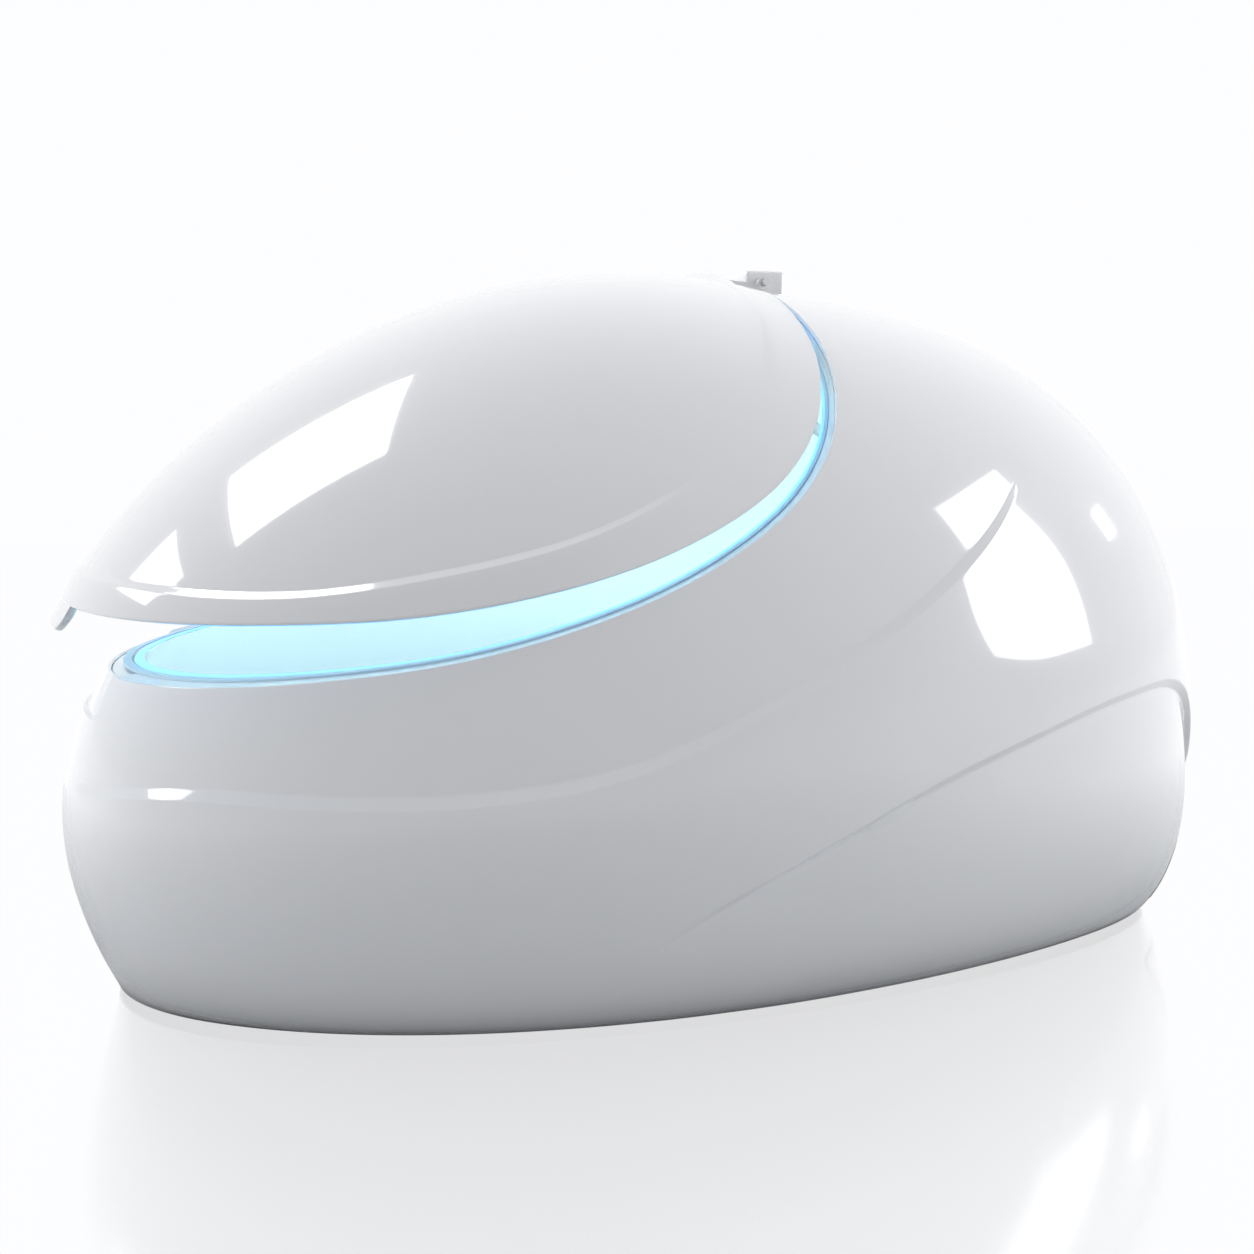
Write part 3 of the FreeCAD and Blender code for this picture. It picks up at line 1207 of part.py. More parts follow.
def make_pipes():
    """Every pipe run of the circuit, end to end between its two ports."""
    low = fitting_base()
    volute_middle = PUMP_FRONT + VOLUTE_LENGTH / 2
    turn_lane = PUMP_LANE + VOLUTE_RADIUS + PORT_LENGTH + BEND_RADIUS + 2
    filter_end = FILTER_HALF_LENGTH + PORT_LENGTH
    drop_x = filter_end + BEND_RADIUS + 6
    heat_end = HEATER_FRONT + HEATER_LENGTH + PORT_LENGTH
    turn_x = heat_end + BEND_RADIUS + 15
    suction = [V(DRAIN_X, 0, low), circuit_point(DRAIN_X, 0), circuit_point(DRAIN_X, PUMP_LANE),
               circuit_point(VOLUTE_END + PORT_LENGTH, PUMP_LANE)]
    pressure = [circuit_point(volute_middle, PUMP_LANE + VOLUTE_RADIUS + PORT_LENGTH),
                circuit_point(volute_middle, turn_lane), circuit_point(drop_x, turn_lane),
                circuit_point(drop_x, PUMP_LANE), circuit_point(filter_end, PUMP_LANE)]
    filtered = [circuit_point(FILTER_PORT_X, PUMP_LANE + FILTER_RADIUS + PORT_LENGTH),
                circuit_point(FILTER_PORT_X, HEAT_LANE - STERILISER_RADIUS - PORT_LENGTH)]
    cleaned = [circuit_point(STERILISER_HALF_LENGTH + PORT_LENGTH, HEAT_LANE),
               circuit_point(HEATER_FRONT - PORT_LENGTH, HEAT_LANE)]
    warmed = [circuit_point(heat_end, HEAT_LANE), circuit_point(turn_x, HEAT_LANE),
              circuit_point(turn_x, RETURN_Y), circuit_point(RETURN_X, RETURN_Y),
              V(RETURN_X, RETURN_Y, low)]
    waste = [V(WASTE_X, 0, low), circuit_point(WASTE_X, 0), circuit_point(WASTE_X, -WASTE_RUN)]
    return {"pipe_suction": pipe(suction), "pipe_pump_to_filter": pipe(pressure),
            "pipe_filter_to_steriliser": pipe(filtered), "pipe_steriliser_to_heater": pipe(cleaned),
            "pipe_return": pipe(warmed), "pipe_waste": pipe(waste)}


def make_drain_valve():
    """Ball valve body on the waste pipe."""
    start = circuit_point(WASTE_X, -WASTE_RUN)
    body = cylinder(VALVE_RADIUS, start, -Y_AXIS, VALVE_LENGTH)
    neck = cylinder(11, start - Y_AXIS * (VALVE_LENGTH / 2), Z_AXIS, VALVE_RADIUS + 10)
    outlet = cylinder(PIPE_RADIUS, start - Y_AXIS * VALVE_LENGTH, -Y_AXIS, PORT_LENGTH)
    bore = cylinder(PIPE_RADIUS - PIPE_WALL, start, -Y_AXIS, VALVE_LENGTH + 2 * PORT_LENGTH)
    stem_base = start + V(0, -VALVE_LENGTH / 2, VALVE_RADIUS - 6)
    stem = cylinder(5 + RUNNING_FIT, stem_base, Z_AXIS, 2 * VALVE_RADIUS)
    return without(fused([body, neck, outlet]), [bore, stem])


def make_drain_handle():
    """Quarter-turn lever of the drain valve, across the pipe when shut."""
    centre = circuit_point(WASTE_X, -WASTE_RUN - VALVE_LENGTH / 2)
    stem = cylinder(5, centre + Z_AXIS * (VALVE_RADIUS - 5), Z_AXIS, 20)
    base = centre.z + VALVE_RADIUS + 10 + FIT
    lever = box(V(centre.x - HANDLE_LENGTH, centre.y - HANDLE_WIDTH / 2, base),
                V(centre.x + HANDLE_WIDTH / 2, centre.y + HANDLE_WIDTH / 2, base + 5))
    lever = lever.makeFillet(HANDLE_WIDTH * 0.4, [edge for edge in lever.Edges if edge.BoundBox.ZLength > 4])
    return fused([stem, lever])


# ================================================================ cabin fittings
def wall_place(angle, height):
    """Point on the cabin's skin and its outward normal."""
    level = CABIN.level_at(height)
    return CABIN.point(angle, level), CABIN.normal(angle, level)


def seated(shape, wall):
    """Piece with the wall it sits on cut away, without the slivers behind the wall."""
    return max(shape.cut(wall).Solids, key=lambda solid: solid.Volume)


def tub_light_places():
    return [wall_place(angle, TUB_LIGHT_HEIGHT) for angle in (0.0, pi)]


def make_tub_light_housing(tub):
    """Cup through the tub wall with a flange on the cabin side."""
    cups = []
    for base, outward in tub_light_places():
        front = base - outward * LIGHT_FLANGE_DEPTH
        cup = cylinder(TUB_LIGHT_RADIUS, front, outward, TUB_LIGHT_DEPTH + LIGHT_FLANGE_DEPTH)
        flange = cylinder(TUB_LIGHT_FLANGE, front, outward, LIGHT_FLANGE_DEPTH + TUB_WALL)
        room = cylinder(TUB_LIGHT_RADIUS - CUP_WALL, base - outward * TUB_LIGHT_DEPTH, outward,
                        2 * TUB_LIGHT_DEPTH - CUP_WALL)
        cups.append(seated(cup.fuse(flange.cut(tub)).cut(room), tub))
    return group(cups)


def make_tub_light_lens():
    lenses = []
    for base, outward in tub_light_places():
        front = base - outward * LIGHT_FLANGE_DEPTH
        lenses.append(cylinder(TUB_LIGHT_RADIUS - CUP_WALL, front, outward, LENS_DEPTH))
    return group(lenses)


def fan_place():
    return wall_place(0.0, FAN_HEIGHT)


def make_fan_housing(tub):
    """Square fan frame on the outer face of the cabin wall, with its spider and shaft."""
    base, outward = fan_place()
    place = facing(base + outward * TUB_WALL / 2, outward)
    frame = rounded_plate(FAN_SIZE, FAN_SIZE, 6.0, FAN_DEPTH + TUB_WALL / 2, place)
    back = base + outward * (TUB_WALL + FAN_DEPTH)
    frame = frame.cut(cylinder(FAN_BORE, base, outward, 2 * FAN_DEPTH + TUB_WALL))
    spider = [cylinder(FAN_HUB_RADIUS - 3, back - outward * SPIDER_DEPTH, outward, SPIDER_DEPTH)]
    for turn in (0.0, 90.0):
        bar_place = facing(back - outward * SPIDER_DEPTH, outward)
        bar = rounded_plate(2 * FAN_BORE + 4, SPIDER_BAR, 1.0, SPIDER_DEPTH, bar_place)
        bar.rotate(back, outward, turn + 45.0)
        spider.append(bar)
    spider.append(cylinder(FAN_SHAFT_RADIUS, back - outward * (FAN_DEPTH - 2), outward, FAN_DEPTH - 2))
    return fused([seated(frame, tub)] + spider)


def make_fan_rotor():
    base, outward = fan_place()
    depth = FAN_DEPTH - SPIDER_DEPTH - 4
    start = base + outward * (TUB_WALL + 2)
    parts = [cylinder(FAN_HUB_RADIUS, start, outward, depth)]
    for i in range(FAN_BLADES):
        blade = box(V(FAN_HUB_RADIUS - 3, -1.2, -11), V(FAN_BORE - 3, 1.2, 11))
        blade.rotate(V(), X_AXIS, 58.0)
        blade.rotate(V(), Z_AXIS, 360.0 * i / FAN_BLADES)
        blade.Placement = facing(start + outward * (depth / 2), outward).multiply(blade.Placement)
        parts.append(blade)
    bore = cylinder(FAN_SHAFT_RADIUS + RUNNING_FIT, start - outward, outward, depth + 2)
    return fused(parts).cut(bore)


def make_vent_grille(tub):
    """Slotted plate over the fan on the cabin side."""
    base, outward = fan_place()
    place = facing(base - outward * VENT_DEPTH, outward)
    plate = rounded_plate(VENT_SIZE, VENT_SIZE, 12.0, VENT_DEPTH + TUB_WALL / 3, place)
    count = 7
    for i in range(count):
        slot = rounded_plate(VENT_SIZE - 34, 6.0, 2.9, 4 * VENT_DEPTH, place)
        offset = (i - (count - 1) / 2) * VENT_PITCH
        slot.translate(place.Rotation.multVec(Y_AXIS) * offset - outward * VENT_DEPTH)
        plate = plate.cut(slot)
    return seated(plate, tub)


def panel_place():
    """Place of the button panel on the near wall of the tub."""
    level = CABIN.level_at(PANEL_HEIGHT)
    low, high = -pi, -pi / 4
    for _ in range(BISECTIONS):
        middle = (low + high) / 2
        low, high = (middle, high) if CABIN.point(middle, level).x < PANEL_X else (low, middle)
    return CABIN.point(low, level), CABIN.normal(low, level)


def button_axes():
    """Centre of each button on the panel's face, with the direction into the wall."""
    base, outward = panel_place()
    place = facing(base - outward * PANEL_DEPTH, outward)
    side = place.Rotation.multVec(X_AXIS)
    return [(place.Base + side * (turn * BUTTON_SPACING / 2), outward) for turn in (-1, 1)]


def make_button_panel(tub):
    base, outward = panel_place()
    place = facing(base - outward * PANEL_DEPTH, outward)
    plate = rounded_plate(PANEL_LENGTH, PANEL_WIDTH, 20.0, PANEL_DEPTH + TUB_WALL / 2, place)
    plate = seated(plate, tub)
    for centre, inward in button_axes():
        plate = plate.cut(cylinder(BUTTON_RADIUS + BUTTON_FIT, centre - inward, inward, PANEL_DEPTH - 2))
    return plate


def make_button(centre, inward):
    """Domed push button that stands proud of the panel."""
    length = BUTTON_PROUD + PANEL_DEPTH - 4 - BUTTON_TRAVEL
    button = cylinder(BUTTON_RADIUS, centre - inward * BUTTON_PROUD, inward, length)
    face = [edge for edge in button.Edges
            if edge.Length > 1 and abs((edge.CenterOfMass - centre).dot(inward) + BUTTON_PROUD) < 0.1]
    return button.makeFillet(2.0, face)


def make_grab_handle(liner):
    """Pull bar inside the lid, shut."""
    base, outward = wall_place(pi, GRAB_HEIGHT)
    inward = outward * -1
    half = GRAB_SPAN / 2
    bar_height = base + inward * GRAB_STANDOFF
    parts = []
    for side in (-1, 1):
        corner = bar_height + V(0, side * half, 0)
        parts.append(cylinder(GRAB_RADIUS, corner, outward, 2.5 * GRAB_STANDOFF))
        parts.append(Part.makeSphere(GRAB_RADIUS, corner))
        start = corner + outward * (GRAB_STANDOFF - 14)
        parts.append(cylinder(GRAB_FOOT_RADIUS, start, outward, GRAB_STANDOFF))
    parts.append(cylinder(GRAB_RADIUS, bar_height - V(0, half, 0), Y_AXIS, GRAB_SPAN))
    return seated(fused(parts), liner)


# ================================================================ controls and power
def make_control_box():
    length, width, height = CONTROL_BOX
    low = V(CONTROL_BOX_X - length / 2, CONTROL_BOX_Y - width / 2, RAIL_BASE + RAIL_HEIGHT + TRAY_THICKNESS)
    high = low + V(length, width, height)
    shell = box(low, high).cut(box(low + V(4, 4, 4), high + V(-4, -4, 1)))
    hole = cylinder(GLAND_RADIUS, V(high.x - 10, CONTROL_BOX_Y, low.z + height / 2), X_AXIS, 20)
    return shell.cut(hole)


def make_control_box_lid():
    length, width, height = CONTROL_BOX
    low = V(CONTROL_BOX_X - length / 2, CONTROL_BOX_Y - width / 2,
            RAIL_BASE + RAIL_HEIGHT + TRAY_THICKNESS + height)
    cover = box(low, low + V(length, width, CONTROL_LID))
    lip = box(low + V(4 + FIT, 4 + FIT, -6), low + V(length - 4 - FIT, width - 4 - FIT, 0))
    return cover.makeFillet(2.5, [edge for edge in cover.Edges if edge.BoundBox.ZMin > low.z + 1]).fuse(lip)


def make_sound_exciters():
    discs = []
    for side in (-1, 1):
        top = V(EXCITER_X, side * EXCITER_Y, FLOOR_HEIGHT - TUB_WALL)
        disc = cylinder(EXCITER_RADIUS, top - Z_AXIS * EXCITER_DEPTH * 0.6, Z_AXIS, EXCITER_DEPTH * 0.6)
        core = cylinder(EXCITER_RADIUS * 0.55, top - Z_AXIS * EXCITER_DEPTH, Z_AXIS, EXCITER_DEPTH)
        discs.append(disc.fuse(core))
    return group(discs)


def gland_place():
    level = HULL.level_at(GLAND_HEIGHT)
    return HULL.point(radians(GLAND_ANGLE), level), HULL.normal(radians(GLAND_ANGLE), level)


def make_power_gland(body):
    """Cable gland through the hull wall, open for the supply."""
    base, outward = gland_place()
    start = base - outward * GLAND_INSIDE
    barrel = cylinder(GLAND_RADIUS, start, outward, GLAND_INSIDE + GLAND_OUTSIDE)
    inner_nut = cylinder(GLAND_NUT_RADIUS, start + outward * 4, outward, GLAND_INSIDE - 4)
    outer_nut = cylinder(GLAND_NUT_RADIUS, base - outward * HULL_WALL, outward, HULL_WALL + GLAND_OUTSIDE - 6)
    bore = cylinder(GLAND_BORE, start - outward, outward, 2 * (GLAND_INSIDE + GLAND_OUTSIDE))
    collars = inner_nut.fuse(outer_nut).cut(body)
    return fused([barrel, collars]).cut(bore)


# ================================================================ rear service panel
def rear_prism(margin):
    """Block through the tail of the hull on the service opening."""
    width = 2 * (SERVICE_HALF_WIDTH - margin)
    height = PANEL_TOP - PANEL_BOTTOM - 2 * margin
    place = facing(V(HALF_LENGTH * 0.7, 0, (PANEL_TOP + PANEL_BOTTOM) / 2), X_AXIS)
    return rounded_plate(width, height, SERVICE_RADIUS - margin, HALF_LENGTH, place)


def tail_x(y, height):
    """Where the plain hull's tail meets a line along X."""
    level, low, high = HULL.level_at(height), 0.0, pi / 2
    for _ in range(BISECTIONS):
        middle = (low + high) / 2
        low, high = (middle, high) if HULL.point(middle, level).y < y else (low, middle)
    return HULL.point(low, level).x


def screw_lines(radius):
    """Cylinders along X on the panel's screws, through the wall and the clip."""
    lines, reach = [], 3 * (HULL_WALL + CLIP_DEPTH)
    for side in (-1, 1):
        for height in (PANEL_BOTTOM + CLIP_SIZE / 3, PANEL_TOP - CLIP_SIZE / 3):
            y = SERVICE_HALF_WIDTH * 0.75
            base = V(tail_x(y, height) - reach, side * y, height)
            lines.append(cylinder(radius, base, X_AXIS, 2 * reach))
    return lines


def make_panel_clips():
    """Tabs behind the panel's edges, bonded inside the hull."""
    layer = body_wall(-HULL_WALL, -HULL_WALL - CLIP_DEPTH)
    tabs = []
    for side in (-1, 1):
        for height in (PANEL_BOTTOM, PANEL_TOP):
            y = side * SERVICE_HALF_WIDTH * 0.75
            half = CLIP_SIZE / 2
            tabs.append(layer.common(box(V(HALF_LENGTH * 0.7, y - half, height - half),
                                         V(HALF_LENGTH * 1.2, y + half, height + half))))
    return group([without(tab, screw_lines(SCREW_RADIUS / 2)) for tab in tabs])


def make_panel_screws():
    head_layer = body_wall(SCREW_HEAD, 0.0)
    shank_layer = body_wall(0.0, -HULL_WALL - CLIP_DEPTH * 0.8)
    screws = []
    for head, shank in zip(screw_lines(SCREW_RADIUS), screw_lines(SCREW_RADIUS / 2)):
        screws.append(fused([head.common(head_layer), shank.common(shank_layer)]))
    return group(screws)


# ================================================================ assembly
def floor_points():
    return ((DRAIN_X, 0.0), (RETURN_X, RETURN_Y), (WASTE_X, 0.0))


def drilled_tub():
    """Tub with its openings for the water fittings, lights and fan."""
    tub = make_tub().cut(pocket_cutter(FIT))
    for x, y in floor_points():
        start = V(x, y, FLOOR_HEIGHT - FITTING_DROP)
        tub = tub.cut(cylinder(FITTING_RADIUS, start, Z_AXIS, 2 * FITTING_DROP))
    for base, outward in tub_light_places():
        start = base - outward * TUB_LIGHT_DEPTH
        tub = tub.cut(cylinder(TUB_LIGHT_RADIUS, start, outward, 2 * TUB_LIGHT_DEPTH))
    base, outward = fan_place()
    return tub.cut(cylinder(FAN_BORE, base - outward * FAN_DEPTH, outward, 2 * FAN_DEPTH))


def opened_body(body):
    """Body shell with its pocket, service and gland openings."""
    base, outward = gland_place()
    gland = cylinder(GLAND_RADIUS, base - outward * 2 * GLAND_INSIDE, outward, 4 * GLAND_INSIDE)
    return without(body, [pocket_cutter(0.0), rear_prism(0.0), gland])


def shells():
    whole = body_wall(0.0, -HULL_WALL)
    body = opened_body(whole)
    panel = without(whole.common(rear_prism(SERVICE_GAP)), screw_lines(SCREW_RADIUS / 2))
    return {"body_shell": sectioned(body), "service_panel": panel, "inner_tub": drilled_tub(),
            "latch_pocket": make_latch_pocket(), "plinth": make_plinth(whole),
            "panel_clips": make_panel_clips(), "panel_screws": make_panel_screws(),
            "power_gland": make_power_gland(whole)}


def sectioned(shape):
    """Hull as bonded mouldings, parted on its middle plane and at each cross joint."""
    reach = 2 * HALF_LENGTH
    stops = [-reach] + [share * HALF_LENGTH for share in MOULD_JOINTS] + [reach]
    pieces = []
    for start, end in zip(stops, stops[1:]):
        pieces.append(shape.common(box(V(start, -reach, -reach), V(end, 0, reach))))
        pieces.append(shape.common(box(V(start, 0, -reach), V(end, reach, reach))))
    return group(pieces)


def lid_pieces():
    """Every piece that rides with the lid, built shut and then turned to rest."""
    shell = make_lid_shell()
    liner = seated(make_lid_liner(), shell)
    crown = skin_solid(HULL, 0.0, 0.1)
    lifted = skin_solid(HULL, ARM_LIFT, 0.1)
    studs = [make_stud(side, *STRUT_LID_POINT, liner, -OPEN_PIVOT_REACH) for side in (-1, 1)]
    arms = group([make_hinge_arm(side, [crown, shell], lifted) for side in (-1, 1)])
    pieces = {
        "lid_shell": shell,
        "lid_liner": liner,
        "lid_tongue": make_lid_tongue(),
        "lid_light": edge_strip(lid_edge_point, LID_LIGHT_SHARES, -FIT - LIGHT_HEIGHT, -FIT),
        "hinge_fairing": make_fairing(skin_solid(HULL, FAIRING_SEAT, 0.1)),
        "hinge_arms": arms,
        "hinge_pin": make_hinge_pin(),
        "strut_studs_lid": group(studs),
        "grab_handle": make_grab_handle(liner),
    }
    return {name: opened(shape) for name, shape in pieces.items()}


def strut_pieces(tub):
    reach = STRUT_SOCKET_WIDTH / 2 + STUD_END
    studs = [make_stud(side, *STRUT_TUB_POINT, tub, reach) for side in (-1, 1)]
    pieces = {"strut_studs_tub": group(studs)}
    for name, side in (("near", -1), ("far", 1)):
        pieces["strut_cylinder_" + name] = make_strut_cylinder(side)
        pieces["strut_rod_" + name] = make_strut_rod(side)
    return pieces


def base_pieces():
    frame = make_base_frame()
    return {"base_frame": frame, "levelling_feet": make_levelling_feet(),
            "equipment_tray": make_equipment_tray(frame), "hull_brackets": make_hull_brackets(),
            "hinge_block": make_hinge_block(skin_solid(HULL, 0.0, 0.1)), "hinge_bushes": make_hinge_bushes(),
            "rim_seal": edge_strip(rim_point, SEAL_SHARES, FIT, SEAL_HEIGHT),
            "rim_light": edge_strip(rim_point, RIM_LIGHT_SHARES, FIT, LIGHT_HEIGHT)}


def water_pieces():
    pieces = {"pump_volute": make_pump_volute(), "pump_motor": make_pump_motor(),
              "pump_impeller": make_pump_impeller(), "filter_housing": make_filter_housing(),
              "filter_cap": make_filter_cap(), "filter_cartridge": make_filter_cartridge(),
              "steriliser": make_steriliser(), "heater": make_heater(),
              "drain_valve": make_drain_valve(), "drain_valve_handle": make_drain_handle(),
              "floor_fittings": group([make_floor_fitting(x, y) for x, y in floor_points()]),
              "floor_grilles": group([make_floor_grille(x, y) for x, y in floor_points()])}
    pieces.update(make_pipes())
    return pieces


def cabin_pieces(tub):
    light_axis, call_axis = button_axes()
    return {"tub_light_housings": make_tub_light_housing(tub), "tub_light_lenses": make_tub_light_lens(),
            "vent_fan_housing": make_fan_housing(tub), "vent_fan_rotor": make_fan_rotor(),
            "vent_grille": make_vent_grille(tub), "button_panel": make_button_panel(tub),
            "light_button": make_button(*light_axis), "call_button": make_button(*call_axis),
            "control_box": make_control_box(), "control_box_lid": make_control_box_lid(),
            "sound_exciters": make_sound_exciters()}


def build():
    nodes = shells()
    tub = nodes["inner_tub"]
    for pieces in (lid_pieces(), strut_pieces(tub), base_pieces(), water_pieces(), cabin_pieces(tub)):
        nodes.update(pieces)
    return nodes


os.makedirs("parts", exist_ok=True)
for name, shape in build().items():
    shape.exportStep(os.path.join("parts", name + ".step"))
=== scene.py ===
"""Flotation tank: an egg-shaped tub with a canopy lid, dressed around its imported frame. Metres, +Z up."""
import logging
from dataclasses import dataclass, field
from enum import Enum
from math import cos, pi, radians, sin
from typing import Any, Optional, Sequence

import bpy
import numpy as np
from mathutils import Matrix, Vector


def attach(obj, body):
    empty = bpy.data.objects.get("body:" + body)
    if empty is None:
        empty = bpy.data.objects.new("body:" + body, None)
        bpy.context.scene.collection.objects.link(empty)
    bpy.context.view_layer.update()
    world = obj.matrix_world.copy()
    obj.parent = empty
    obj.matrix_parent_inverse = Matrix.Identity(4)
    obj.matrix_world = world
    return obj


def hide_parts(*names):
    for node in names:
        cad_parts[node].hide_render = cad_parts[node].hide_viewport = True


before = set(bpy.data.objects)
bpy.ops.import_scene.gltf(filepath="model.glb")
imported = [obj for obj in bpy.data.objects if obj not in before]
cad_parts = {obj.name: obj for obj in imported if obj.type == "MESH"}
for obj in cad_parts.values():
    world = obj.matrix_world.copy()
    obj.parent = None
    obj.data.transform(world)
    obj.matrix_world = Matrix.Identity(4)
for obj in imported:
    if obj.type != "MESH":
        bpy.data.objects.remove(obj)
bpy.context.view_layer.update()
LOG = logging.getLogger("flotation_tank")

# ---------------------------------------------------------------- sizes shared by the sub-assemblies
HALF_LENGTH, HALF_WIDTH, HULL_HEIGHT, CLEARANCE = 1.225, 0.790, 1.398, 0.015
HINGE = np.array([0.188, 0.0, 1.426])
LID_REST = radians(5.2)
HULL_WALL, LID_WALL, LINER_WALL, TUB_WALL = 0.008, 0.006, 0.005, 0.006
EDGE_GAP, SEAM_GAP = 0.0008, 0.005
FLOOR_HEIGHT = 0.265
BLOCK_FRONT = 0.034                    # hinge block ahead of the hinge axis
CROWN_SHARE = 0.995                    # level where the lid's skins close to their tips

Line = Sequence[tuple[float, float]]
RIM_LINE: Line = (
    (-1.000, 0.474), (-0.867, 0.479), (-0.724, 0.490), (-0.561, 0.508), (-0.401, 0.531), (-0.258, 0.564),
    (-0.128, 0.606), (-0.035, 0.648), (0.059, 0.708), (0.120, 0.780), (0.143, 0.862), (0.135, 0.923),
    (0.122, 0.962), (0.114, 1.005),
)
RIDGE_LINE: Line = (
    (-1.030, 0.334), (-0.964, 0.338), (-0.841, 0.364), (-0.763, 0.377), (-0.547, 0.386), (-0.350, 0.396),
    (-0.251, 0.409), (-0.137, 0.437), (-0.011, 0.484), (0.150, 0.550), (0.281, 0.617), (0.398, 0.697),
    (0.460, 0.752), (0.560, 0.800), (0.760, 0.825),
)
GROOVE_LINE: Line = (
    (-1.030, 0.070), (-0.500, 0.105), (-0.235, 0.169), (-0.084, 0.245), (0.068, 0.308), (0.239, 0.366),
    (0.447, 0.411), (0.575, 0.430), (0.686, 0.437), (0.784, 0.433), (0.869, 0.401), (0.925, 0.340),
    (0.965, 0.262), (1.020, 0.190),
)
LID_LINE: Line = (
    (-1.000, 0.522), (-0.735, 0.532), (-0.532, 0.551), (-0.383, 0.584), (-0.200, 0.640), (-0.114, 0.681),
    (-0.021, 0.744), (0.035, 0.830), (0.062, 0.905), (0.066, 0.960), (0.062, 1.005),
)


# ================================================================ curves and skins
def smooth_step(value: np.ndarray) -> np.ndarray:
    """Gives 0 below 0 and 1 above 1, with level ends."""
    value = np.clip(value, 0.0, 1.0)
    return value * value * (3.0 - 2.0 * value)


def soft_ramp(value: np.ndarray, ease: float = 0.12) -> np.ndarray:
    """Straight ramp from 0 to 1 with its two corners rounded off.

    Args:
        value: where on the ramp, 0 at its start and 1 at its end.
        ease: share of the ramp that each rounding takes.

    Returns:
        The height of the ramp there.
    """
    def corner(x: np.ndarray) -> np.ndarray:
        """Integral of a rise from 0 to 1 over the easing length."""
        x = np.clip(x / (2 * ease) + 0.5, 0.0, None)
        return 2 * ease * np.where(x < 1, x ** 3 - x ** 4 / 2, x - 0.5)
    return np.clip(corner(value) - corner(value - 1), 0.0, 1.0)


def graded(count: int, both: bool = True) -> np.ndarray:
    """Shares from 0 to 1 that crowd towards the ends, or towards 0 only."""
    steps = np.linspace(0.0, 1.0, count + 1)
    return (1 - np.cos(pi * steps)) / 2 if both else 1 - np.cos(pi * steps / 2)


def side_line(shares: Line, count: int = 90) -> np.ndarray:
    """Styling line of the side elevation as short straight pieces.

    Args:
        shares: points as shares of the hull's half length and height.
        count: how many straight pieces.

    Returns:
        Points (x, z) on a smooth curve through the given ones.
    """
    knots = np.array([(x * HALF_LENGTH, CLEARANCE + z * HULL_HEIGHT) for x, z in shares])
    gaps = np.hypot(*np.diff(knots, axis=0).T)
    at = np.concatenate([[0.0], np.cumsum(gaps)])
    size = len(knots)
    rows, right = np.zeros((size, size)), np.zeros((size, 2))
    for i in range(1, size - 1):
        rows[i, i - 1:i + 2] = gaps[i - 1], 2 * (gaps[i - 1] + gaps[i]), gaps[i]
        right[i] = 6 * ((knots[i + 1] - knots[i]) / gaps[i] - (knots[i] - knots[i - 1]) / gaps[i - 1])
    rows[0, :3] = -gaps[1], gaps[0] + gaps[1], -gaps[0]
    rows[-1, -3:] = -gaps[-1], gaps[-1] + gaps[-2], -gaps[-2]
    bend = np.linalg.solve(rows, right)
    where = np.linspace(0.0, at[-1], count + 1)
    span = np.clip(np.searchsorted(at, where) - 1, 0, size - 2)
    step, low = gaps[span][:, None], (where - at[span])[:, None]
    high = step - low
    curve = (bend[span] * high ** 3 + bend[span + 1] * low ** 3) / (6 * step)
    curve += (knots[span] / step - bend[span] * step / 6) * high
    return curve + (knots[span + 1] / step - bend[span + 1] * step / 6) * low


def shifted(line: np.ndarray, distance: float) -> np.ndarray:
    """Side-view line moved to its crown side by a distance."""
    ends = np.concatenate([line[:1], line, line[-1:]])
    run = ends[2:] - ends[:-2]
    run /= np.hypot(*run.T)[:, None]
    return line + np.stack([-run[:, 1], run[:, 0]], 1) * distance


def unit(vectors: np.ndarray) -> np.ndarray:
    """Vectors of length one."""
    return vectors / np.linalg.norm(vectors, axis=-1, keepdims=True)


def lid_turned(points: np.ndarray, angle: float = LID_REST) -> np.ndarray:
    """Points of the shut lid after it has opened about its hinge.

    Args:
        points: places with the lid shut.
        angle: how far the lid opens, in radians.

    Returns:
        The same places with the lid open.
    """
    off = points - HINGE
    turned = off.copy()
    turned[..., 0] = off[..., 0] * cos(angle) + off[..., 2] * sin(angle)
    turned[..., 2] = off[..., 2] * cos(angle) - off[..., 0] * sin(angle)
    return HINGE + turned


